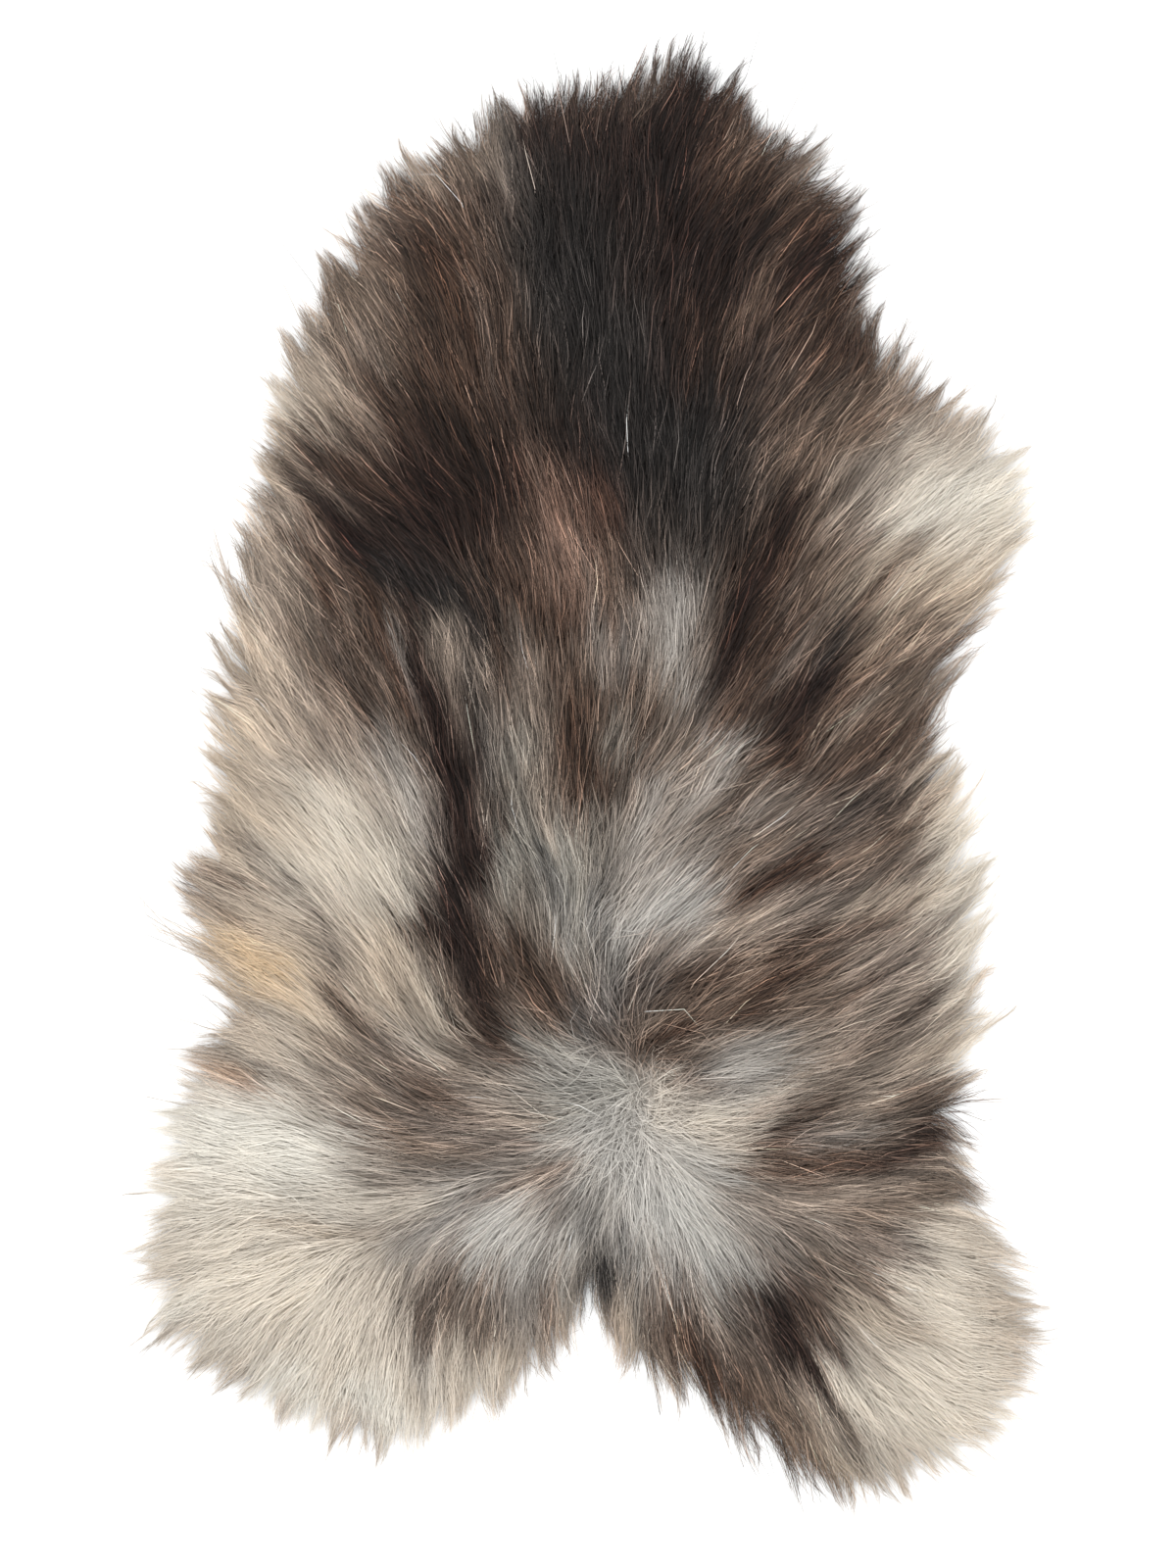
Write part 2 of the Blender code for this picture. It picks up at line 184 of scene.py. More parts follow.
# From the top of the neck down the left side, round the hind lobes and up the right side.
REACHES = tuple(Reach(*row) for row in (
    (720, 55, 20), (680, 55, 1), (625, 80, -3), (560, 85, 3), (490, 120, 5), (440, 160, -12), (392, 175, 3),
    (358, 222, -20), (325, 275, -7), (295, 340, 2), (275, 385, 3), (262, 455, -13), (235, 540, -1),
    (205, 680, 0), (190, 800, -1), (180, 900, 18), (195, 1000, 0), (200, 1060, -6), (160, 1180, 11),
    (140, 1250, 6), (140, 1310, 8), (160, 1380, 3), (330, 1480, 2), (560, 1420, 2), (600, 1330, 3),
    (650, 1405, 26), (710, 1430, 22), (780, 1480, 30), (830, 1545, 26), (900, 1550, 10), (960, 1530, 8),
    (1060, 1430, 7), (1070, 1380, 3), (1040, 1260, 20), (1005, 1190, 20), (1000, 1140, 27),
    (1010, 1060, 20), (1010, 980, 18), (1005, 880, 11), (1000, 800, 17), (985, 750, 20), (985, 690, 4),
    (1075, 550, 6), (1040, 440, 22), (990, 395, 13), (920, 335, 15), (893, 300, -24), (885, 230, -8),
    (860, 175, 11), (780, 130, -12),
))

# Each stroke covers what lies under it, so broad grounds come first and small marks last.
MARKINGS = tuple(Brush(*row) for row in (
    # Broad grounds
    (400, 240, 440, 380, 48, BROWN, 0.9), (470, 180, 520, 160, 45, BROWN, 0.9),
    (690, 120, 700, 400, 150, SOOT, 1.0), (560, 140, 600, 200, 60, SOOT, 0.9),
    (780, 190, 850, 230, 45, UMBER, 0.95), (580, 250, 620, 480, 95, COAL, 0.95),
    (430, 520, 560, 500, 88, SOOT, 1.0), (410, 440, 480, 560, 55, SOOT, 0.9),
    (450, 250, 490, 420, 62, UMBER, 0.95), (700, 460, 730, 550, 75, COAL, 0.95),
    (840, 290, 880, 400, 48, UMBER, 0.85), (820, 430, 840, 560, 42, BROWN, 0.95),
    (780, 600, 800, 780, 80, UMBER, 0.9), (890, 640, 880, 830, 60, BROWN, 0.9),
    (800, 860, 900, 990, 85, TAUPE, 0.85), (680, 1010, 820, 1000, 42, EARTH, 0.9),
    (830, 1190, 940, 1180, 48, BROWN, 0.9), (800, 1250, 880, 1290, 45, TAUPE, 0.85),
    (340, 600, 400, 700, 45, BROWN, 0.9), (560, 600, 610, 760, 75, BROWN, 0.95),
    (520, 760, 515, 880, 36, OLIVE, 0.85), (570, 860, 605, 950, 46, OLIVE, 0.9),
    (690, 800, 680, 900, 48, MUSHROOM, 0.9), (670, 930, 690, 900, 48, ASH, 0.9),
    (570, 1010, 600, 1040, 40, BROWN, 0.8), (540, 1070, 600, 1100, 36, OLIVE, 0.85),
    (250, 640, 240, 720, 45, OAT, 0.5), (310, 400, 270, 470, 42, OAT, 0.75),
    (340, 840, 310, 880, 80, CREAM, 1.0), (400, 860, 400, 930, 42, CREAM, 0.9),
    (230, 770, 240, 850, 48, OAT, 0.9), (235, 960, 300, 1010, 52, OAT, 1.0),
    (410, 960, 445, 1070, 28, OAT, 0.85), (300, 1050, 260, 1070, 40, OAT, 0.8),
    (240, 1160, 310, 1180, 78, IVORY, 1.0), (190, 1200, 220, 1220, 60, IVORY, 0.8),
    (240, 1300, 310, 1330, 108, CREAM, 1.0), (350, 1400, 440, 1430, 64, CREAM, 0.95),
    (430, 1140, 490, 1160, 52, TAUPE, 0.95), (450, 1240, 560, 1235, 38, ASH, 0.95),
    (510, 1275, 570, 1270, 30, SILVER, 0.75), (460, 1330, 540, 1330, 32, TAUPE, 0.9),
    (450, 1400, 540, 1385, 18, OAT, 0.85), (610, 1140, 680, 1230, 78, SILVER, 1.0),
    (690, 1250, 740, 1280, 48, SILVER, 0.9), (740, 1140, 790, 1115, 32, CREAM, 0.7),
    (750, 1190, 790, 1220, 32, MUSHROOM, 0.7), (960, 1290, 990, 1420, 90, CREAM, 1.0),
    (910, 1440, 970, 1450, 62, CREAM, 0.95), (800, 1335, 815, 1385, 48, SOOT, 1.0),
    (700, 1375, 790, 1475, 34, UMBER, 1.0), (790, 1450, 845, 1520, 32, EARTH, 0.9),
    (690, 1310, 730, 1330, 30, TAUPE, 0.75), (940, 510, 1050, 520, 82, CREAM, 1.0),
    (900, 590, 1000, 600, 44, OAT, 0.95), (990, 800, 1005, 1060, 32, CREAM, 1.0),
    # Neck
    (590, 105, 690, 85, 20, EARTH, 0.6), (650, 75, 690, 70, 12, MUSHROOM, 0.45),
    (705, 85, 735, 85, 19, SOOT, 0.9), (745, 105, 775, 150, 15, EARTH, 0.6),
    (512, 105, 516, 185, 15, TAUPE, 0.95), (508, 130, 503, 180, 12, MUSHROOM, 0.75),
    (548, 118, 560, 132, 8, SOOT, 0.7), (720, 160, 790, 165, 20, BROWN, 0.45),
    (758, 245, 795, 200, 14, BLACK, 0.95), (745, 335, 800, 270, 17, BROWN, 0.8),
    (760, 305, 778, 285, 8, EARTH, 0.4), (815, 285, 850, 240, 17, SOOT, 0.85),
    (815, 200, 868, 178, 13, BROWN, 0.65), (858, 255, 868, 330, 12, SOOT, 0.85),
    (700, 320, 740, 400, 22, UMBER, 0.4), (885, 380, 905, 345, 13, EARTH, 0.6),
    (860, 425, 925, 395, 20, EARTH, 0.85), (815, 470, 900, 440, 20, EARTH, 0.65),
    (850, 490, 890, 465, 16, MUSHROOM, 0.7), (940, 410, 975, 390, 11, EARTH, 0.85),
    (975, 430, 1040, 425, 13, MUSHROOM, 0.6), (950, 530, 1010, 500, 45, IVORY, 0.5),
    (785, 570, 820, 505, 15, SOOT, 0.9), (840, 590, 885, 545, 16, EARTH, 0.8),
    (860, 560, 900, 520, 10, TAUPE, 0.5), (820, 540, 850, 500, 8, EARTH, 0.6),
    # Left shoulder
    (445, 185, 468, 150, 18, EARTH, 0.8), (480, 180, 488, 140, 12, MUSHROOM, 0.7),
    (380, 180, 440, 222, 17, BROWN, 0.9), (395, 232, 455, 262, 17, UMBER, 0.9),
    (360, 262, 405, 282, 14, EARTH, 0.7), (345, 300, 400, 400, 26, EARTH, 0.95),
    (365, 330, 385, 372, 11, TAUPE, 0.6), (300, 320, 322, 360, 14, MUSHROOM, 0.8),
    (328, 345, 350, 378, 6, UMBER, 0.7), (480, 290, 497, 400, 8, TAUPE, 0.5),
    (452, 330, 468, 400, 8, BROWN, 0.7), (428, 300, 445, 350, 9, BROWN, 0.6),
    (318, 395, 372, 435, 22, MUSHROOM, 0.9), (330, 400, 360, 428, 11, OAT, 0.6),
    (272, 395, 296, 425, 20, CREAM, 0.6), (305, 445, 350, 460, 9, BROWN, 0.6),
    (340, 472, 400, 490, 20, UMBER, 0.9), (290, 465, 332, 505, 9, EARTH, 0.85),
    (262, 500, 300, 525, 12, TAUPE, 0.6), (300, 500, 340, 540, 9, UMBER, 0.8),
    (350, 548, 470, 620, 32, SOOT, 1.0), (400, 590, 500, 640, 28, COAL, 0.9),
    (520, 600, 600, 640, 28, UMBER, 0.8), (565, 465, 592, 600, 26, ROSE, 0.75),
    (546, 450, 556, 500, 8, BROWN, 0.6), (560, 485, 574, 535, 7, ROSE, 0.7),
    (600, 480, 618, 530, 11, RUST, 0.4), (622, 545, 632, 600, 12, BROWN, 0.7),
    (600, 560, 606, 610, 10, TAUPE, 0.6),
    # Left flank
    (262, 540, 318, 590, 7, BROWN, 0.75), (292, 540, 345, 640, 10, UMBER, 0.8),
    (318, 600, 360, 690, 10, UMBER, 0.95), (290, 640, 330, 710, 9, EARTH, 0.8),
    (335, 590, 352, 640, 5, MUSHROOM, 0.7), (380, 650, 392, 700, 5, TAUPE, 0.7),
    (368, 598, 415, 720, 10, UMBER, 0.95), (355, 680, 405, 765, 12, UMBER, 0.85),
    (402, 655, 426, 715, 6, ASH, 0.9), (412, 625, 446, 720, 11, SOOT, 0.95),
    (400, 715, 432, 765, 9, BROWN, 0.8), (447, 650, 460, 685, 14, MUSHROOM, 0.95),
    (430, 690, 460, 765, 19, SOOT, 1.0), (462, 765, 470, 880, 25, SOOT, 1.0),
    (462, 880, 464, 950, 25, SOOT, 1.0), (470, 950, 490, 1040, 30, SOOT, 0.95),
    (490, 1040, 520, 1075, 14, BROWN, 0.9), (424, 930, 440, 965, 12, UMBER, 0.85),
    (500, 1000, 516, 1080, 9, UMBER, 0.8), (515, 960, 565, 1020, 25, UMBER, 0.85),
    (545, 1005, 600, 1045, 26, BROWN, 0.85), (495, 705, 500, 640, 8, UMBER, 0.8),
    (522, 695, 530, 650, 9, TAUPE, 0.8), (538, 700, 546, 640, 10, MUSHROOM, 0.6),
    (505, 770, 512, 715, 11, TAUPE, 0.8), (505, 840, 515, 790, 12, EARTH, 0.6),
    (300, 700, 350, 765, 24, MUSHROOM, 0.8), (388, 760, 430, 835, 18, ASH, 0.8),
    (425, 775, 442, 840, 9, TAUPE, 0.6), (190, 878, 250, 905, 5, BROWN, 0.75),
    (185, 905, 240, 948, 6, BROWN, 0.7), (225, 848, 275, 880, 7, TAUPE, 0.7),
    (262, 895, 335, 908, 8, TAUPE, 0.55), (200, 838, 245, 862, 4, EARTH, 0.5),
    (222, 962, 268, 985, 14, STRAW, 0.8), (240, 1005, 290, 1020, 14, STRAW, 0.4),
    (310, 930, 352, 1000, 7, TAUPE, 0.75), (335, 1000, 400, 1095, 11, BROWN, 0.75),
    (328, 1000, 350, 1030, 6, UMBER, 0.5), (355, 1070, 390, 1150, 13, EARTH, 0.75),
    (290, 1050, 330, 1110, 18, CREAM, 0.7), (372, 960, 402, 1050, 13, OAT, 0.6),
    (428, 980, 452, 1075, 13, CREAM, 0.5), (205, 1085, 255, 1100, 13, ROSE, 0.8),
    (232, 1072, 264, 1085, 7, EARTH, 0.75), (290, 1090, 310, 1110, 14, CREAM, 0.5),
    # Back
    (584, 700, 600, 800, 26, UMBER, 0.9), (608, 700, 612, 635, 12, ASH, 0.6),
    (632, 690, 634, 640, 7, STEEL, 0.7), (560, 720, 566, 665, 9, TAUPE, 0.5),
    (645, 710, 646, 655, 7, UMBER, 0.7), (684, 665, 690, 605, 24, ASH, 0.95),
    (700, 712, 694, 655, 15, ASH, 0.85), (658, 650, 656, 620, 8, ASH, 0.6),
    (668, 790, 666, 720, 9, UMBER, 0.9), (640, 780, 646, 730, 10, OLIVE, 0.7),
    (700, 760, 712, 730, 9, EARTH, 0.5), (728, 805, 738, 745, 15, SILVER, 0.85),
    (705, 830, 712, 790, 13, ASH, 0.7), (738, 832, 752, 792, 7, UMBER, 0.85),
    (766, 825, 786, 802, 9, ASH, 0.7), (650, 870, 664, 800, 26, ASH, 0.8),
    (590, 830, 612, 808, 12, UMBER, 0.7), (545, 850, 550, 790, 12, MUSHROOM, 0.7),
    (640, 950, 700, 925, 26, SILVER, 0.8), (680, 880, 720, 875, 16, ASH, 0.6),
    (612, 960, 618, 900, 12, STEEL, 0.7), (590, 1050, 620, 1000, 20, STEEL, 0.85),
    # Right flank
    (736, 695, 762, 585, 17, SOOT, 0.95), (795, 690, 825, 640, 8, TAUPE, 0.85),
    (790, 640, 812, 600, 8, TAUPE, 0.5), (828, 700, 868, 620, 13, COAL, 0.95),
    (870, 622, 906, 590, 7, UMBER, 0.85), (795, 745, 840, 690, 20, SOOT, 0.95),
    (890, 650, 955, 605, 21, OAT, 0.8), (875, 685, 915, 660, 10, UMBER, 0.5),
    (925, 690, 1000, 640, 8, UMBER, 0.9), (845, 755, 912, 700, 11, MUSHROOM, 0.9),
    (900, 735, 945, 700, 9, EARTH, 0.7), (905, 760, 945, 725, 6, UMBER, 0.8),
    (760, 790, 830, 755, 20, UMBER, 0.8), (840, 800, 940, 755, 18, BROWN, 0.9),
    (850, 840, 905, 800, 13, COAL, 0.5), (905, 850, 950, 810, 14, BROWN, 0.8),
    (745, 800, 790, 815, 14, MUSHROOM, 0.7), (770, 850, 830, 822, 13, TAUPE, 0.85),
    (740, 880, 800, 855, 14, EARTH, 0.75), (775, 912, 830, 875, 12, UMBER, 0.95),
    (840, 880, 930, 850, 12, EARTH, 0.7), (860, 905, 940, 875, 8, BROWN, 0.6),
    (965, 830, 985, 770, 18, OAT, 0.8), (965, 890, 985, 820, 20, CREAM, 0.8),
    (870, 935, 960, 895, 13, OAT, 0.7), (740, 940, 800, 920, 13, MUSHROOM, 0.9),
    (640, 1012, 750, 990, 20, BROWN, 0.95), (700, 1040, 800, 1020, 12, BROWN, 0.8),
    (700, 975, 760, 955, 9, TAUPE, 0.7), (760, 1030, 820, 985, 15, UMBER, 0.9),
    (800, 970, 850, 950, 10, UMBER, 0.8), (850, 965, 940, 925, 8, BROWN, 0.8),
    (860, 990, 950, 950, 9, MUSHROOM, 0.7), (640, 1000, 660, 1000, 20, STEEL, 0.7),
    (650, 1060, 700, 1062, 16, UMBER, 0.95), (700, 1080, 735, 1100, 14, BROWN, 0.85),
    (820, 1045, 930, 1005, 10, MUSHROOM, 0.7), (830, 1025, 900, 995, 6, BROWN, 0.75),
    (900, 1040, 950, 1015, 6, UMBER, 0.6), (735, 1085, 800, 1060, 17, ASH, 0.9),
    (790, 1095, 850, 1080, 12, MUSHROOM, 0.8), (850, 1075, 920, 1050, 8, BROWN, 0.6),
    (870, 1100, 940, 1075, 11, MUSHROOM, 0.7), (930, 1080, 970, 1050, 13, OAT, 0.6),
    (730, 1145, 780, 1120, 16, CREAM, 0.8), (765, 1135, 800, 1120, 7, ROSE, 0.45),
    (800, 1165, 850, 1120, 13, UMBER, 0.85), (835, 1160, 885, 1147, 11, ASH, 0.8),
    (850, 1130, 935, 1108, 13, MUSHROOM, 0.7), (890, 1142, 950, 1130, 5, UMBER, 0.7),
    (945, 1110, 965, 1085, 7, BROWN, 0.7), (900, 1185, 975, 1158, 17, SOOT, 0.8),
    (800, 1190, 900, 1185, 15, UMBER, 0.7), (830, 1225, 900, 1212, 10, MUSHROOM, 0.75),
    (880, 1250, 950, 1235, 14, EARTH, 0.8), (890, 1285, 930, 1275, 12, TAUPE, 0.7),
    (950, 1215, 985, 1215, 14, EARTH, 0.8), (860, 1270, 925, 1262, 12, TAUPE, 0.85),
    # Rump
    (552, 1130, 620, 1110, 22, OLIVE, 0.7), (676, 1145, 688, 1108, 9, CREAM, 0.8),
    (700, 1175, 755, 1175, 18, CREAM, 0.7), (425, 1120, 460, 1125, 15, BROWN, 0.85),
    (400, 1175, 470, 1180, 13, EARTH, 0.55), (500, 1130, 535, 1135, 13, MUSHROOM, 0.7),
    (515, 1162, 545, 1158, 11, ROSE, 0.4), (555, 1200, 572, 1225, 9, TAUPE, 0.85),
    (340, 1210, 430, 1228, 14, CREAM, 0.6), (280, 1245, 340, 1250, 6, OAT, 0.7),
    (340, 1250, 400, 1258, 5, MUSHROOM, 0.6), (590, 1235, 598, 1262, 11, STEEL, 0.6),
    (498, 1290, 494, 1258, 12, SILVER, 0.8), (545, 1262, 530, 1290, 8, TAUPE, 0.5),
    (440, 1290, 425, 1260, 14, MUSHROOM, 0.8), (470, 1250, 455, 1290, 6, TAUPE, 0.5),
    # Hind lobes
    (462, 1360, 456, 1310, 18, BROWN, 0.85), (436, 1372, 430, 1330, 8, UMBER, 0.75),
    (500, 1350, 498, 1315, 9, EARTH, 0.7), (556, 1365, 542, 1305, 12, BROWN, 0.95),
    (545, 1405, 535, 1380, 12, MUSHROOM, 0.7), (492, 1430, 487, 1385, 14, MUSHROOM, 0.5),
    (420, 1440, 425, 1390, 12, OAT, 0.6), (345, 1440, 340, 1390, 10, OAT, 0.7),
    (240, 1380, 215, 1360, 10, OAT, 0.6), (300, 1370, 280, 1340, 7, OAT, 0.5),
    (612, 1318, 608, 1290, 11, COAL, 0.95), (640, 1300, 632, 1270, 12, STEEL, 0.9),
    (640, 1380, 640, 1325, 9, OAT, 0.7), (662, 1370, 658, 1310, 7, BROWN, 0.85),
    (688, 1390, 682, 1345, 15, BROWN, 0.9), (735, 1345, 725, 1310, 13, ASH, 0.6),
    (745, 1400, 730, 1350, 8, TAUPE, 0.5), (770, 1335, 775, 1305, 10, UMBER, 0.7),
    (840, 1345, 842, 1310, 13, BROWN, 0.85), (830, 1440, 815, 1400, 9, MUSHROOM, 0.8),
    (795, 1290, 792, 1245, 13, TAUPE, 0.7), (850, 1290, 900, 1325, 16, EARTH, 0.75),
    (870, 1345, 930, 1350, 13, OAT, 0.8), (905, 1297, 945, 1287, 3, UMBER, 0.7),
    (860, 1380, 890, 1430, 14, CREAM, 0.9), (862, 1430, 880, 1480, 8, EARTH, 0.85),
    (850, 1490, 885, 1535, 16, OAT, 0.7), (1035, 1330, 1045, 1400, 8, OAT, 0.7),
    # Small patches all over. Those of ivory and cream along the left rims are partly painted light.
    (478, 690, 505, 830, 12, COAL, 0.55), (455, 960, 485, 1050, 13, SOOT, 0.55),
    (345, 740, 400, 840, 22, TAUPE, 0.35), (850, 450, 905, 400, 16, EARTH, 0.5),
    (870, 680, 980, 640, 20, EARTH, 0.6), (900, 655, 960, 620, 8, UMBER, 0.4),
    (568, 440, 588, 520, 15, UMBER, 0.35), (548, 630, 560, 700, 9, UMBER, 0.5),
    (655, 740, 665, 780, 9, BROWN, 0.5), (645, 1000, 668, 955, 12, BROWN, 0.5),
    (770, 902, 830, 885, 8, UMBER, 0.6), (840, 985, 905, 955, 9, BROWN, 0.5),
    (500, 1232, 565, 1196, 12, BROWN, 0.6), (345, 1110, 400, 1160, 13, EARTH, 0.5),
    (870, 1310, 940, 1290, 15, TAUPE, 0.5), (520, 150, 540, 220, 13, COAL, 0.5),
    (385, 380, 420, 440, 15, UMBER, 0.5), (300, 520, 342, 605, 8, BROWN, 0.5),
    (312, 665, 335, 722, 7, BROWN, 0.5), (335, 640, 365, 690, 8, TAUPE, 0.4),
    (590, 655, 598, 712, 9, MUSHROOM, 0.45), (665, 600, 690, 655, 13, ASH, 0.4),
    (712, 650, 725, 700, 9, TAUPE, 0.5), (385, 850, 430, 910, 13, CREAM, 0.3),
    (298, 1028, 335, 1070, 11, OAT, 0.4), (735, 1120, 790, 1092, 11, ASH, 0.5),
    (840, 1116, 900, 1102, 11, MUSHROOM, 0.4), (690, 1180, 732, 1200, 12, SILVER, 0.4),
    (400, 1268, 440, 1262, 13, SILVER, 0.4), (545, 1300, 540, 1345, 13, ASH, 0.4),
    (850, 1380, 882, 1402, 11, TAUPE, 0.4), (380, 240, 425, 300, 13, UMBER, 0.35),
    (250, 1360, 330, 1430, 30, CREAM, 0.35), (340, 1400, 400, 1460, 30, CREAM, 0.4),
    (470, 1370, 500, 1430, 16, OAT, 0.35), (140, 1150, 180, 1180, 28, IVORY, 0.4),
    (130, 1260, 180, 1320, 28, CREAM, 0.4), (600, 130, 690, 230, 55, SOOT, 0.5),
    (740, 110, 760, 200, 30, UMBER, 0.3), (880, 430, 945, 395, 16, EARTH, 0.45),
    (880, 640, 975, 610, 16, EARTH, 0.4), (735, 1108, 785, 1088, 13, ASH, 0.35),
    (852, 1392, 868, 1384, 10, MUSHROOM, 0.4), (505, 1262, 530, 1300, 18, SILVER, 0.45),
    (470, 1370, 505, 1425, 18, CREAM, 0.4), (270, 1395, 310, 1430, 24, IVORY, 0.45),
    (360, 1440, 410, 1460, 26, IVORY, 0.45), (700, 1175, 765, 1215, 18, SILVER, 0.4),
    (885, 1100, 905, 1140, 13, MUSHROOM, 0.4), (640, 1300, 675, 1330, 13, ASH, 0.35),
    (815, 1235, 845, 1265, 13, MUSHROOM, 0.4), (900, 1360, 940, 1380, 15, CREAM, 0.3),
    (350, 410, 380, 450, 15, UMBER, 0.4), (885, 1302, 930, 1290, 13, TAUPE, 0.35),
    (810, 330, 825, 385, 15, UMBER, 0.3), (370, 440, 430, 380, 22, UMBER, 0.35),
    (570, 500, 590, 450, 15, UMBER, 0.3), (590, 570, 598, 620, 12, BROWN, 0.35),
    (850, 450, 915, 410, 17, BROWN, 0.35), (860, 680, 930, 560, 13, BROWN, 0.35),
    (315, 530, 345, 600, 7, BROWN, 0.4), (265, 600, 295, 660, 12, TAUPE, 0.35),
    (430, 985, 470, 1050, 10, BROWN, 0.5), (468, 700, 485, 770, 8, SOOT, 0.4),
    (350, 1135, 395, 1175, 12, BROWN, 0.4), (880, 1235, 900, 1310, 13, BROWN, 0.35),
    (800, 1165, 850, 1155, 8, UMBER, 0.4), (570, 890, 585, 960, 12, STEEL, 0.4),
    (690, 990, 800, 945, 7, UMBER, 0.4), (770, 915, 840, 880, 7, UMBER, 0.35),
    (960, 760, 975, 720, 10, EARTH, 0.4), (560, 1290, 575, 1340, 12, ASH, 0.4),
    (440, 1275, 455, 1320, 13, ASH, 0.4), (515, 1262, 530, 1298, 14, SILVER, 0.4),
    (475, 1385, 500, 1425, 16, CREAM, 0.35), (280, 1405, 300, 1440, 20, IVORY, 0.35),
    (370, 1435, 392, 1470, 20, IVORY, 0.35), (155, 1342, 195, 1330, 20, IVORY, 0.35),
    (742, 1108, 790, 1088, 13, ASH, 0.35), (850, 1090, 945, 1045, 13, MUSHROOM, 0.45),
    (870, 1140, 910, 1132, 10, MUSHROOM, 0.4), (370, 1078, 420, 1060, 13, ASH, 0.35),
    (470, 1190, 502, 1206, 12, SILVER, 0.35), (815, 1250, 842, 1292, 12, MUSHROOM, 0.4),
    (455, 550, 490, 600, 11, EARTH, 0.3), (345, 640, 375, 710, 8, TAUPE, 0.35),
    (710, 665, 732, 700, 12, TAUPE, 0.4), (500, 850, 515, 890, 12, OLIVE, 0.4),
    (670, 956, 720, 940, 8, ASH, 0.35), (852, 1385, 880, 1402, 12, CREAM, 0.35),
    (1005, 560, 1030, 530, 16, CREAM, 0.3), (398, 880, 420, 925, 12, CREAM, 0.3),
    (600, 1130, 690, 1200, 26, ASH, 0.25), (545, 240, 545, 330, 24, COAL, 0.45),
    (575, 210, 565, 270, 18, BLACK, 0.35), (470, 430, 500, 470, 22, BLACK, 0.4),
    (585, 445, 600, 478, 16, SOOT, 0.5), (400, 390, 440, 430, 20, SOOT, 0.35),
    (545, 520, 560, 555, 11, BROWN, 0.4), (590, 545, 600, 580, 10, BROWN, 0.3),
    (695, 800, 715, 795, 12, TAUPE, 0.35), (640, 620, 650, 660, 14, ASH, 0.35),
    (760, 1100, 800, 1085, 15, ASH, 0.4), (850, 1095, 940, 1060, 14, MUSHROOM, 0.4),
    (300, 1080, 322, 1130, 14, MUSHROOM, 0.45), (480, 1390, 500, 1420, 18, CREAM, 0.45),
    (435, 1380, 445, 1420, 14, ASH, 0.4), (520, 1300, 545, 1385, 12, ASH, 0.45),
    (585, 1310, 592, 1345, 12, OLIVE, 0.5), (640, 1320, 650, 1345, 12, TAUPE, 0.45),
    (285, 1400, 300, 1450, 18, IVORY, 0.4), (370, 1430, 385, 1465, 16, IVORY, 0.35),
    (160, 1340, 190, 1330, 16, IVORY, 0.35), (955, 1135, 990, 1140, 16, BROWN, 0.7),
    (955, 1170, 985, 1180, 12, UMBER, 0.4), (905, 1290, 915, 1325, 11, BROWN, 0.35),
    (820, 1340, 840, 1400, 9, BROWN, 0.4), (860, 1390, 880, 1420, 14, CREAM, 0.35),
    (690, 1300, 700, 1330, 10, STEEL, 0.4), (400, 1260, 430, 1275, 14, ASH, 0.35),
    (500, 1275, 530, 1300, 16, SILVER, 0.45), (800, 330, 835, 380, 16, UMBER, 0.4),
    (850, 560, 880, 610, 16, BROWN, 0.35), (930, 400, 975, 385, 12, TAUPE, 0.35),
    (855, 695, 885, 640, 10, UMBER, 0.35), (690, 1050, 700, 1075, 14, UMBER, 0.5),
    (270, 470, 300, 480, 14, MUSHROOM, 0.4), (375, 215, 400, 240, 14, TAUPE, 0.35),
    (445, 165, 465, 190, 12, TAUPE, 0.35), (630, 1240, 660, 1270, 24, SILVER, 0.35),
    (700, 1175, 720, 1195, 18, SILVER, 0.35), (560, 890, 575, 930, 14, STEEL, 0.4),
    (205, 1085, 240, 1092, 12, STRAW, 0.3), (960, 650, 975, 630, 10, TAUPE, 0.4),
    (970, 1000, 1000, 1040, 12, OAT, 0.35), (590, 210, 600, 430, 46, COAL, 0.3),
    (845, 545, 885, 520, 15, BROWN, 0.35), (860, 345, 900, 400, 10, UMBER, 0.35),
    (300, 1090, 325, 1125, 14, MUSHROOM, 0.4), (755, 1100, 800, 1085, 14, SILVER, 0.35),
    (930, 1130, 950, 1120, 9, BROWN, 0.4), (425, 1380, 440, 1420, 12, SILVER, 0.35),
    (480, 1385, 495, 1415, 16, CREAM, 0.35), (180, 1345, 230, 1370, 18, IVORY, 0.35),
    (290, 1405, 310, 1430, 14, IVORY, 0.35), (580, 1315, 590, 1335, 12, ASH, 0.5),
    (630, 1330, 645, 1345, 10, ASH, 0.45), (520, 1205, 545, 1225, 12, MUSHROOM, 0.4),
    (490, 800, 500, 835, 9, UMBER, 0.4), (385, 755, 400, 790, 9, TAUPE, 0.35),
    (955, 685, 975, 675, 9, ASH, 0.4), (690, 1290, 700, 1330, 12, STEEL, 0.4),
    (895, 1235, 925, 1215, 10, BROWN, 0.35), (890, 1300, 915, 1330, 12, BROWN, 0.3),
    (900, 1490, 910, 1515, 12, CREAM, 0.4), (855, 1385, 875, 1400, 12, CREAM, 0.35),
    (600, 1030, 612, 1060, 8, UMBER, 0.35), (640, 1085, 700, 1080, 10, EARTH, 0.35),
    (400, 1045, 420, 1070, 12, ASH, 0.4), (270, 1040, 300, 1060, 10, MUSHROOM, 0.35),
    (330, 1175, 380, 1180, 10, MUSHROOM, 0.35), (715, 700, 730, 745, 12, STEEL, 0.35),
    (570, 690, 590, 720, 10, EARTH, 0.35), (345, 745, 360, 790, 10, MUSHROOM, 0.35),
    (820, 365, 840, 345, 10, UMBER, 0.35),
))


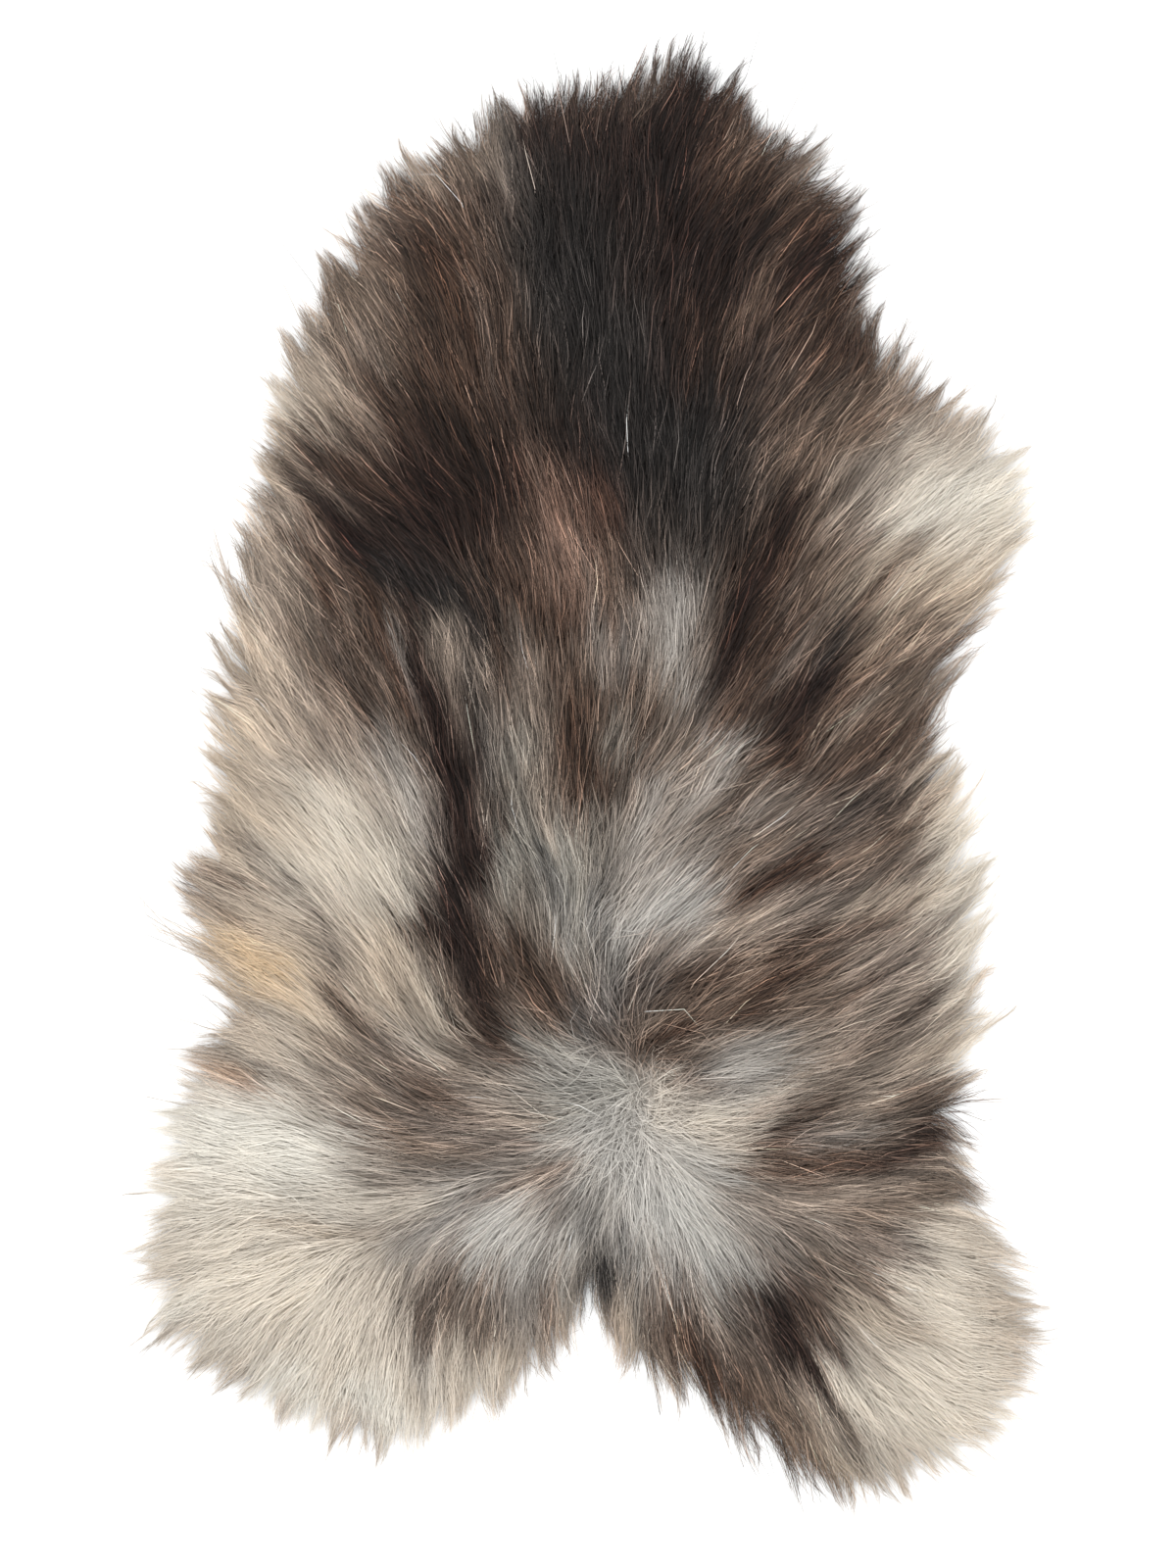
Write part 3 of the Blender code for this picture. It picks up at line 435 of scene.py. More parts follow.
def hex_to_linear(colour: str) -> np.ndarray:
    """Turn an sRGB hex colour into linear red, green and blue."""
    return to_linear(hex_to_srgb(colour))


def hex_to_srgb(colour: str) -> np.ndarray:
    """Read an sRGB hex colour as three numbers from 0 to 1."""
    return np.array([int(colour[start : start + 2], 16) for start in (1, 3, 5)]) / 255.0


def to_linear(srgb: np.ndarray) -> np.ndarray:
    """Turn sRGB values from 0 to 1 into linear light: a straight toe, then a 2.4 power."""
    return np.where(srgb <= 0.04045, srgb / 12.92, ((np.maximum(srgb, 0.0) + 0.055) / 1.055) ** 2.4)


def photo_places(pixels: np.ndarray) -> np.ndarray:
    """Turn pixels of the picture into places on the skin, in metres."""
    offset = pixels - np.array(PHOTO_PIXEL_OVER_ORIGIN)
    return offset * np.array([PHOTO_PIXEL, -PHOTO_PIXEL])


def headings_to_vectors(degrees: np.ndarray) -> np.ndarray:
    """Turn headings in degrees into unit vectors, one row each."""
    angle = np.radians(degrees)
    return np.stack([np.cos(angle), np.sin(angle)], axis=-1)


def unit(vectors: np.ndarray) -> np.ndarray:
    """Scale each row to length one."""
    return vectors / np.maximum(np.linalg.norm(vectors, axis=-1, keepdims=True), 1e-9)


def turned(vectors: np.ndarray, angle: np.ndarray) -> np.ndarray:
    """Turn each flat vector by its angle in radians, towards the left."""
    c, s = np.cos(angle), np.sin(angle)
    x, y = vectors[..., 0], vectors[..., 1]
    return np.stack([x * c - y * s, x * s + y * c], axis=-1)


def whole_turn(steps: int) -> np.ndarray:
    """Divide a turn into equal steps, as angles in radians from zero on."""
    return np.linspace(0, 2 * math.pi, steps, endpoint=False)


def grid_of(low: np.ndarray, pitch: float, counts: np.ndarray) -> np.ndarray:
    """Lay out a flat grid of points from its low corner."""
    axes = [low[axis] + pitch * np.arange(counts[axis]) for axis in (0, 1)]
    return np.stack(np.meshgrid(*axes, indexing="ij"), axis=-1)


def softened(values: np.ndarray, cells: float) -> np.ndarray:
    """Blur a grid with a Gaussian of that many cells, first down its columns and then along its rows."""
    reach = int(math.ceil(3 * cells))
    offsets = np.arange(-reach, reach + 1)
    kernel = np.exp(-((offsets / cells) ** 2) / 2)
    kernel /= kernel.sum()
    for axis in (0, 1):
        padding = [(0, 0)] * values.ndim
        padding[axis] = (reach, reach)
        wide = np.pad(values, padding, mode="edge")
        size = values.shape[axis]
        values = sum(
            weight * np.take(wide, np.arange(size) + step, axis=axis) for step, weight in enumerate(kernel)
        )
    return values


@dataclass
class FieldMap:
    """Values on a square grid over the skin, read between its points in straight lines."""

    low: np.ndarray
    pitch: float
    values: np.ndarray

    def at(self, places: np.ndarray) -> np.ndarray:
        """Read the values at some places, each from the four grid points around it."""
        top = np.array(self.values.shape[:2]) - 1.001
        cell = np.clip((places - self.low) / self.pitch, 0, top)
        whole = cell.astype(int)
        share = cell - whole
        i, j = whole[..., 0], whole[..., 1]
        a, b = share[..., 0], share[..., 1]
        if self.values.ndim == 3:
            a, b = a[..., None], b[..., None]
        near = self.values[i, j] * (1 - b) + self.values[i, j + 1] * b
        far = self.values[i + 1, j] * (1 - b) + self.values[i + 1, j + 1] * b
        return near * (1 - a) + far * a


@dataclass
class Skin:
    """The skin as a map: how high its wool stands, which way it lies, its markings and the hide's edge.

    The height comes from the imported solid, so whatever grows from this map keeps to it.
    """

    node: str = "pelt"
    pitch: float = 4 * MM
    margin: float = 60 * MM
    height_blur: float = 6 * MM
    hide_height: float = 11.5 * MM
    least_fringe: float = 42 * MM
    comb_softness: float = 20 * MM
    warp: float = 5 * MM
    warp_scale: float = 24 * MM
    rim_width: float = 70 * MM
    wisp_inset: float = 4 * MM
    spreading_run: float = 35 * MM
    most_dense: float = 4.0
    tip_height: float = 0.8 * MM
    tip_window: int = 5
    streak_pitch: float = 1.6 * MM
    streak_softness: float = 1.8
    streak_step: float = 3 * MM
    streak_steps: int = 10
    edge_steps: int = 720
    nearest_edge: float = 0.1
    furthest_edge: float = 0.8
    least_spread: float = -0.3
    seed: int = 5
    low: np.ndarray = field(init=False)
    grid: np.ndarray = field(init=False)
    height: FieldMap = field(init=False)
    lie: FieldMap = field(init=False)
    density: FieldMap = field(init=False)
    colour: FieldMap = field(init=False)
    streaks: FieldMap = field(init=False)
    edge: np.ndarray = field(init=False)
    outline: np.ndarray = field(init=False)

    def __post_init__(self) -> None:
        """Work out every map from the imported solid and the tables."""
        low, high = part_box(self.node)
        self.low = np.array(low[:2]) - self.margin
        counts = np.ceil((np.array(high[:2]) + self.margin - self.low) / self.pitch).astype(int) + 1
        self.grid = grid_of(self.low, self.pitch, counts)
        self.height = self.read_heights(high.z)
        self.lie = self.comb_out()
        self.density = self.thicken()
        self.colour = self.paint()
        self.streaks = self.draw_out()
        self.outline = self.find_edge(self.tip_height, self.tip_window) + self.lengthen()
        self.edge = np.minimum(self.find_edge(self.hide_height), self.outline - self.least_fringe)

    def read_heights(self, top: float) -> FieldMap:
        """Read the solid's height with a ray down at each grid point, and soften it a little."""
        tree = BVHTree.FromObject(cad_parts[self.node], bpy.context.evaluated_depsgraph_get())
        down = Vector((0, 0, -1))
        start = top + 1.0
        hits = [tree.ray_cast(Vector((x, y, start)), down)[0] for x, y in self.grid.reshape(-1, 2)]
        heights = np.array([hit.z if hit else 0.0 for hit in hits]).reshape(self.grid.shape[:2])
        return FieldMap(self.low, self.pitch, softened(heights, self.height_blur / self.pitch))

    def comb_out(self) -> FieldMap:
        """Spread the comb strokes over the skin.

        Each stroke pulls the direction its own way, with a weight of one over the square of its softened
        squared distance. Where strokes disagree, as in a whorl, the mean comes out shorter than one, and the
        wool there stands up more and runs less far.
        """
        table = np.array(COMBING, dtype=float)
        known = photo_places(table[:, :2])
        headings = headings_to_vectors(table[:, 2])
        flat = self.grid.reshape(-1, 2)
        gap = ((flat[:, None, :] - known[None]) ** 2).sum(axis=-1)
        weight = 1.0 / (gap + self.comb_softness**2) ** 2
        lie = (weight @ headings) / weight.sum(axis=1, keepdims=True)
        return FieldMap(self.low, self.pitch, lie.reshape(self.grid.shape))

    def thicken(self) -> FieldMap:
        """Work out how dense the roots are, so that wool combed apart covers as well as the rest.

        The density grows with the divergence of the combing times the run over which the wool spreads.
        """
        way = unit(self.lie.values)
        spread = sum(np.gradient(way[..., axis], self.pitch, axis=axis) for axis in (0, 1))
        density = 1.0 + np.clip(spread * self.spreading_run, self.least_spread, self.most_dense - 1.0)
        return FieldMap(self.low, self.pitch, density)

    def paint(self) -> FieldMap:
        """Lay the brush strokes over each other.

        A stroke's cover falls from its strength along its middle line as a Gaussian of the distance over
        its width. The places are first shaken by smooth noise, so that no edge is a plain curve.
        """
        rng = np.random.default_rng(self.seed)
        noise = softened(rng.normal(size=self.grid.shape), self.warp_scale / self.pitch / 2)
        places = self.grid + noise * self.warp / noise.std()
        colour = np.tile(hex_to_srgb(MUSHROOM.value), (*self.grid.shape[:2], 1))
        for stroke in MARKINGS:
            ends = photo_places(np.array([[stroke.from_x, stroke.from_y], [stroke.to_x, stroke.to_y]]))
            line = ends[1] - ends[0]
            share = np.clip(((places - ends[0]) @ line) / (line @ line), 0.0, 1.0)
            gap = np.linalg.norm(places - ends[0] - share[..., None] * line, axis=-1)
            cover = stroke.strength * np.exp(-((gap / (stroke.width * PHOTO_PIXEL)) ** 2))
            colour += cover[..., None] * (hex_to_srgb(stroke.tone.value) - colour)
        return FieldMap(self.low, self.pitch, colour)

    def draw_out(self) -> FieldMap:
        """Draw noise out along the combing, a fine and a coarse one, so that shades run in long streaks.

        Each point takes the sum of the noise over a run each way along its own line of combing.
        """
        rng = np.random.default_rng(self.seed + 1)
        counts = np.ceil((self.grid[-1, -1] - self.low) / self.streak_pitch).astype(int)
        start = grid_of(self.low, self.streak_pitch, counts)
        fine = rng.normal(size=tuple(counts))
        coarse = softened(fine, self.streak_softness)
        noise = FieldMap(self.low, self.streak_pitch, np.stack([fine, coarse / coarse.std()], axis=-1))
        total = noise.at(start)
        for way in (1, -1):
            place = start
            for _ in range(self.streak_steps):
                place = place + way * self.streak_step * unit(self.lie.at(place))
                total = total + noise.at(place)
        return FieldMap(self.low, self.streak_pitch, total / total.std(axis=(0, 1)))

    def find_edge(self, level: float, window: int = 0) -> np.ndarray:
        """Find how far from the hub the wool's height last stands above a level, in each direction.

        The reach is the furthest of those within a window of directions, so that it can run from lock tip
        to lock tip, and is then smoothed around the turn. It is looked for between the nearest and the
        furthest place where an edge can be.
        """
        angles = whole_turn(self.edge_steps)
        steps = np.arange(self.nearest_edge, self.furthest_edge, self.pitch / 4)
        rays = self.hub + steps[:, None, None] * headings_to_vectors(np.degrees(angles))[None]
        above = self.height.at(rays) >= level
        reach = steps[len(steps) - 1 - above[::-1].argmax(axis=0)]
        reach = np.max([np.roll(reach, step) for step in range(-window, window + 1)], axis=0)
        kernel = np.array([1, 2, 3, 2, 1]) / 9
        wrapped = np.concatenate([reach[-2:], reach, reach[:2]])
        return np.convolve(wrapped, kernel, mode="valid")

    def lengthen(self) -> np.ndarray:
        """Work out how much further the wool reaches, in each direction from the hub."""
        table = np.array(REACHES, dtype=float)
        offset = photo_places(table[:, :2]) - self.hub
        known = np.arctan2(offset[:, 1], offset[:, 0])
        return np.interp(whole_turn(self.edge_steps), known, table[:, 2] * MM, period=2 * math.pi)

    @property
    def hub(self) -> np.ndarray:
        """The place that every part of the hide can be seen from, over the loin."""
        return photo_places(np.array(HUB_PIXEL, dtype=float))

    def edge_at(self, angles: np.ndarray, edge: np.ndarray) -> np.ndarray:
        """Read an edge's reach from the hub at some angles in radians."""
        turns = np.concatenate([edge, edge[:1]])
        where = np.mod(angles, 2 * math.pi) / (2 * math.pi) * self.edge_steps
        return np.interp(where, np.arange(self.edge_steps + 1), turns)

    def inside(self, places: np.ndarray, edge: np.ndarray) -> np.ndarray:
        """Measure how far places lie inside an edge, along the rays from the hub."""
        offset = places - self.hub
        angle = np.arctan2(offset[..., 1], offset[..., 0])
        return self.edge_at(angle, edge) - np.linalg.norm(offset, axis=-1)

    def inset(self, places: np.ndarray) -> np.ndarray:
        """Measure how far places lie inside the hide's edge."""
        return self.inside(places, self.edge)

    def fringe(self, places: np.ndarray) -> np.ndarray:
        """Measure how deep the fringe is beside places, from the hide's edge out to the lock tips."""
        return np.maximum(self.inside(places, self.outline) - self.inset(places), 0.0)

    def outwardness(self, places: np.ndarray) -> np.ndarray:
        """Grade places from 0, a little inside the hide's edge, to 1 at the lock tips."""
        span = self.fringe(places) + self.wisp_inset
        return np.clip(1.0 - self.inside(places, self.outline) / span, 0.0, 1.0)

    def rimness(self, places: np.ndarray) -> np.ndarray:
        """Grade places from 0, well inside the hide, to 1 at its edge."""
        return np.clip(1.0 - self.inset(places) / self.rim_width, 0.0, 1.0)


def add_node(tree: bpy.types.NodeTree, kind: str, settings: dict[str, Any], **inputs: Any) -> bpy.types.Node:
    """Add a node with its settings, and set or link its inputs.

    Args:
        tree: the material's node tree.
        kind: the node's type name.
        settings: the node's own properties.
        inputs: values or output sockets by input name, with _ for a space.
    """
    made = tree.nodes.new(kind)
    for name, value in settings.items():
        setattr(made, name, value)
    for name, value in inputs.items():
        key = int(name[1:]) if name[1:].isdigit() else name.replace("_", " ")
        if isinstance(value, bpy.types.NodeSocket):
            tree.links.new(value, made.inputs[key])
        else:
            made.inputs[key].default_value = value
    return made


def new_material(name: str) -> tuple[bpy.types.Material, bpy.types.NodeTree, bpy.types.Node]:
    """Make an empty node material and return it with its tree and its Principled shader."""
    material = bpy.data.materials.new(name)
    material.use_nodes = True
    tree = material.node_tree
    tree.nodes.clear()
    shader = tree.nodes.new("ShaderNodeBsdfPrincipled")
    output = tree.nodes.new("ShaderNodeOutputMaterial")
    tree.links.new(shader.outputs["BSDF"], output.inputs["Surface"])
    return material, tree, shader


def add_noise(tree: bpy.types.NodeTree, size: float, detail: float) -> bpy.types.Node:
    """Add noise in object coordinates, with features about as wide as the size."""
    place = add_node(tree, "ShaderNodeTexCoord", {})
    return add_node(
        tree, "ShaderNodeTexNoise", {}, Vector=place.outputs["Object"], Scale=1 / size, Detail=detail
    )


def mottle(
    tree: bpy.types.NodeTree, shader: bpy.types.Node, noise: bpy.types.Node, low: float, high: float
) -> None:
    """Colour the shader with the piece's tone, made darker and lighter by noise between two factors."""
    tone = add_node(tree, "ShaderNodeAttribute", {"attribute_name": TONE})
    gain = add_node(
        tree, "ShaderNodeMapRange", {}, Value=noise.outputs["Fac"], From_Min=NOISE_LOW, From_Max=NOISE_HIGH,
        To_Min=low, To_Max=high,
    )
    mixed = add_node(
        tree, "ShaderNodeVectorMath", {"operation": "SCALE"}, _0=tone.outputs["Color"],
        Scale=gain.outputs["Result"],
    )
    tree.links.new(mixed.outputs["Vector"], shader.inputs["Base Color"])


def roughen(
    tree: bpy.types.NodeTree, shader: bpy.types.Node, noise: bpy.types.Node, height: float, strength: float
) -> None:
    """Give the shader a bump from noise."""
    bump = add_node(
        tree, "ShaderNodeBump", {}, Height=noise.outputs["Fac"], Distance=height, Strength=strength
    )
    tree.links.new(bump.outputs["Normal"], shader.inputs["Normal"])


@dataclass(frozen=True)
class WoolFinish:
    """Long combed wool: keratin fibres with a soft, slightly silky lustre.

    Each ribbon stands for a wisp of fibres, so a noise stretched over a few millimetres lightens and
    darkens it as single fibres would.
    """

    name: str
    roughness: float = 0.6
    ior: float = 1.55
    specular: float = 0.12
    fibre_size: float = 1.6 * MM
    fibre_contrast: float = 0.06

    def make(self) -> bpy.types.Material:
        """Build the material from the piece's own tone attribute."""
        material, tree, shader = new_material(self.name)
        noise = add_noise(tree, self.fibre_size, 2.0)
        mottle(tree, shader, noise, 1 - self.fibre_contrast, 1 + self.fibre_contrast)
        shader.inputs["Roughness"].default_value = self.roughness
        shader.inputs["IOR"].default_value = self.ior
        shader.inputs["Specular IOR Level"].default_value = self.specular
        return material


@dataclass(frozen=True)
class FeltFinish:
    """The dense crimped undercoat: matte, felted, mottled over a few millimetres."""

    name: str = "felted_undercoat"
    roughness: float = 0.9
    curl_size: float = 5 * MM
    curl_height: float = 1.2 * MM
    darkest: float = 0.6
    lightest: float = 1.15

    def make(self) -> bpy.types.Material:
        """Build the material from the piece's own tone attribute."""
        material, tree, shader = new_material(self.name)
        noise = add_noise(tree, self.curl_size, 5.0)
        mottle(tree, shader, noise, self.darkest, self.lightest)
        roughen(tree, shader, noise, self.curl_height, 0.8)
        shader.inputs["Roughness"].default_value = self.roughness
        return material


@dataclass(frozen=True)
class SuedeFinish:
    """Undyed tanned skin, sueded on the flesh side: pale, matte, clouded, with a fine nap."""

    name: str = "sueded_skin"
    pale: str = "#d9cbb2"
    dark: str = "#b9a588"
    dark_until: float = 0.35
    pale_from: float = 0.65
    roughness: float = 0.85
    cloud_size: float = 70 * MM
    nap_size: float = 1.5 * MM
    nap_height: float = 0.3 * MM

    def make(self) -> bpy.types.Material:
        """Build the material from clouds and a fine nap in object coordinates."""
        material, tree, shader = new_material(self.name)
        clouds = add_noise(tree, self.cloud_size, 6.0)
        ramp = add_node(tree, "ShaderNodeValToRGB", {}, Fac=clouds.outputs["Fac"])
        ends = ((self.dark_until, self.dark), (self.pale_from, self.pale))
        for element, (position, colour) in zip(ramp.color_ramp.elements, ends):
            element.position = position
            element.color = (*hex_to_linear(colour), 1)
        tree.links.new(ramp.outputs["Color"], shader.inputs["Base Color"])
        roughen(tree, shader, add_noise(tree, self.nap_size, 3.0), self.nap_height, 0.6)
        shader.inputs["Roughness"].default_value = self.roughness
        return material


def mesh_piece(
    name: str, points: np.ndarray, corners: np.ndarray, starts: np.ndarray, material: bpy.types.Material
) -> bpy.types.Object:
    """Put arrays of points and faces into a new smooth-shaded object.

    Args:
        name: the piece's name.
        points: the vertices, one row each.
        corners: the vertex of each face corner, face after face.
        starts: the place of each face's first corner in corners.
        material: the piece's finish.
    """
    mesh = bpy.data.meshes.new(name)
    mesh.vertices.add(len(points))
    mesh.vertices.foreach_set("co", points.astype(np.float32).ravel())
    mesh.loops.add(len(corners))
    mesh.loops.foreach_set("vertex_index", corners.astype(np.int32))
    mesh.polygons.add(len(starts))
    mesh.polygons.foreach_set("loop_start", starts.astype(np.int32))
    mesh.polygons.foreach_set("use_smooth", np.ones(len(starts), dtype=bool))
    mesh.update(calc_edges=True)
    mesh.materials.append(material)
    piece = bpy.data.objects.new(name, mesh)
    bpy.context.scene.collection.objects.link(piece)
    return piece


def set_tone(piece: bpy.types.Object, srgb: np.ndarray) -> None:
    """Store each vertex's colour, given in sRGB, as the piece's tone."""
    linear = np.concatenate([to_linear(srgb), np.ones((len(srgb), 1))], axis=1)
    attribute = piece.data.color_attributes.new(name=TONE, type="FLOAT_COLOR", domain="POINT")
    attribute.data.foreach_set("color", linear.astype(np.float32).ravel())


def disc_faces(rings: int, spokes: int, offset: int, upward: bool) -> tuple[np.ndarray, np.ndarray]:
    """Number the faces of a disc of rings and spokes whose first point is its hub.

    Returns:
        The triangles around the hub and the quads between the rings.
    """
    spoke = np.arange(spokes)
    following = (spoke + 1) % spokes
    hub = np.full(spokes, offset)
    fan = np.stack([hub, offset + 1 + spoke, offset + 1 + following], axis=1)
    ring = offset + 1 + np.arange(rings - 1)[:, None] * spokes
    outer = ring + spokes
    quads = np.stack([ring + spoke, outer + spoke, outer + following, ring + following], axis=-1)
    quads = quads.reshape(-1, 4)
    return (fan, quads) if upward else (fan[:, ::-1], quads[:, ::-1])


@dataclass
class DiscShell:
    """A closed thin body over the hide: an upper and a lower disc that meet at their rims.

    A point of a disc is at a share of the way from the hub to the edge, at an angle around it. The rings
    crowd towards the edge.
    """

    skin: Skin
    rings: int
    spokes: int
    crowding: float = 1.3

    def flat(self, beyond: float) -> np.ndarray:
        """Spread the disc's points over the hide, and so far beyond its edge: the hub, then ring by ring."""
        angle = whole_turn(self.spokes)
        share = 1 - (1 - np.arange(1, self.rings + 1) / self.rings) ** self.crowding
        reach = self.skin.edge_at(angle, self.skin.edge) + beyond
        spread = share[:, None, None] * reach[None, :, None] * headings_to_vectors(np.degrees(angle))[None]
        return self.skin.hub + np.concatenate([np.zeros((1, 2)), spread.reshape(-1, 2)])

    def build(
        self, name: str, flat: np.ndarray, upper: np.ndarray, lower: np.ndarray, material: bpy.types.Material
    ) -> bpy.types.Object:
        """Close two discs over the same flat points into one body, stitched along their rims."""
        count = len(flat)
        points = np.concatenate([np.column_stack([flat, upper]), np.column_stack([flat, lower])])
        fan_up, quads_up = disc_faces(self.rings, self.spokes, 0, True)
        fan_down, quads_down = disc_faces(self.rings, self.spokes, count, False)
        rim = count - self.spokes + np.arange(self.spokes)
        following = np.roll(rim, -1)
        wall = np.stack([rim, rim + count, following + count, following], axis=1)
        quads = np.concatenate([quads_up, quads_down, wall])
        fans = np.concatenate([fan_up, fan_down])
        corners = np.concatenate([fans.ravel(), quads.ravel()])
        starts = np.concatenate([np.arange(len(fans)) * 3, len(fans) * 3 + np.arange(len(quads)) * 4])
        return mesh_piece(name, points, corners, starts, material)


@dataclass
class Leather:
    """The tanned hide: one sheet, flat on the floor, with a slightly uneven cut edge."""

    skin: Skin
    thickness: float = 2 * MM
    rings: int = 12
    spokes: int = 200
    area: float = field(init=False)
    size: np.ndarray = field(init=False)

    def build(self) -> bpy.types.Object:
        """Make the sheet, which is the disc over the hide from the floor up to its thickness."""
        shell = DiscShell(self.skin, self.rings, self.spokes)
        flat = shell.flat(0.0)
        self.area = self.flat_area(flat[-self.spokes :])
        self.size = np.ptp(flat, axis=0)
        floor = np.zeros(len(flat))
        return shell.build("hide_leather", flat, floor + self.thickness, floor, SuedeFinish().make())

    @staticmethod
    def flat_area(rim: np.ndarray) -> float:
        """Work out the area inside a closed ring of points, half the sum of its cross products."""
        following = np.roll(rim, -1, axis=0)
        return float(abs((rim[:, 0] * following[:, 1] - rim[:, 1] * following[:, 0]).sum()) / 2)


@dataclass
class Undercoat:
    """The short dense wool next to the skin: an uneven body that closes the view between the locks."""

    skin: Skin
    share: float = 0.74
    overhang: float = 3 * MM
    rounding: float = 30 * MM
    floor_gap: float = 2.3 * MM
    rings: int = 44
    spokes: int = 220
    shade: float = 0.74
    pale_glow: float = 0.3

    def build(self) -> bpy.types.Object:
        """Make the body: its top at a share of the wool's height, its underside just above the leather.

        Towards the rim the top falls in a quarter circle. Its tone is the markings darkened into painted
        shade, as deep between the locks, less so in pale wool, which lets light through.
        """
        shell = DiscShell(self.skin, self.rings, self.spokes)
        flat = shell.flat(self.overhang)
        inward = np.clip((self.skin.inset(flat) + self.overhang) / self.rounding, 0.0, 1.0)
        fall = np.sqrt(1.0 - (1.0 - inward) ** 2)
        lower = np.full(len(flat), self.floor_gap)
        upper = lower + np.maximum(self.share * self.skin.height.at(flat) - lower, 0.0) * fall + 1 * MM
        piece = shell.build("undercoat", flat, upper, lower, FeltFinish().make())
        tone = self.skin.colour.at(flat)
        # Painted shade: the markings darken here, less in pale wool.
        tone = tone * (self.shade + self.pale_glow * tone.mean(axis=-1, keepdims=True))
        set_tone(piece, np.concatenate([tone, tone]))
        return piece


@dataclass(frozen=True)
class Locks:
    """Neighbouring roots that hang together: a shaken grid of guides, one for each lock.

    Hairs are drawn to their lock's guide by its pull, and by its rim pull where they hang over the edge.
    The tuft spread is the most, as a share of the fringe, by which a lock's tips fall short of the outline.
    Spreads of headings and the sway are in degrees.
    """

    spacing: float
    pull: float
    rim_pull: float
    heading_spread: float
    length_spread: float
    lift_spread: float
    shade_spread: float
    marking_spread: float
    tuft_spread: float
    sway: float
    seed: int

    def guides(self, skin: Skin) -> dict[str, np.ndarray]:
        """Place the guides, and draw how each lock differs from its neighbours.

        A guide stands anywhere in its cell but at the very border. Lengths differ more towards the rim.
        """
        rng = np.random.default_rng(self.seed)
        low, high = skin.grid.min(axis=(0, 1)), skin.grid.max(axis=(0, 1))
        counts = np.ceil((high - low) / self.spacing).astype(int)
        cell = np.stack(np.meshgrid(*(np.arange(n) for n in counts), indexing="ij"), axis=-1)
        place = low + (cell + rng.uniform(0.05, 0.95, cell.shape)) * self.spacing
        shape = tuple(counts)
        rim = skin.rimness(place)
        return {
            "low": low,
            "place": place,
            "turn": np.radians(rng.normal(0, self.heading_spread, shape)),
            "length": 1 + rng.normal(0, self.length_spread, shape) * (0.6 + 0.7 * rim),
            "lift": rng.normal(0, self.lift_spread, shape),
            "shade": rng.normal(0, self.shade_spread, shape),
            "marking": rng.normal(0, self.marking_spread, shape),
            "phase": rng.uniform(0, 2 * math.pi, shape),
            "pull": self.pull * rng.uniform(0.6, 1.0, shape),
            "rim_pull": self.rim_pull * rng.uniform(0.7, 1.0, shape),
            "short": self.tuft_spread * rng.uniform(0, 1, shape),
        }

    def nearest(self, guides: dict[str, np.ndarray], places: np.ndarray) -> tuple[np.ndarray, np.ndarray]:
        """Find each place's nearest guide among those of its own grid cell and the eight around it."""
        cell = np.floor((places - guides["low"]) / self.spacing).astype(int)
        top = np.array(guides["place"].shape[:2]) - 1
        best = np.full(len(places), np.inf)
        chosen = np.zeros((len(places), 2), dtype=int)
        for step_x in (-1, 0, 1):
            for step_y in (-1, 0, 1):
                tried = np.clip(cell + (step_x, step_y), 0, top)
                gap = np.linalg.norm(guides["place"][tried[:, 0], tried[:, 1]] - places, axis=1)
                closer = gap < best
                best = np.where(closer, gap, best)
                chosen[closer] = tried[closer]
        return chosen[:, 0], chosen[:, 1]


class Section(NamedTuple):
    """One section of a hair: its shares of the run, of the rise and of the full width, and its painted
    shade.
    """

    run: float
    rise: float
    width: float
    shade: float


# The shade column is painted shade: each hair darkens towards its root, in the shade of the hairs around it.
SECTIONS = (
    Section(0.0, 0.0, 0.7, 0.66),
    Section(0.15, 0.55, 1.0, 0.78),
    Section(0.43, 0.9, 1.0, 0.93),
    Section(0.79, 1.0, 0.8, 1.0),
    Section(1.0, 0.98, 0.0, 1.02),
)


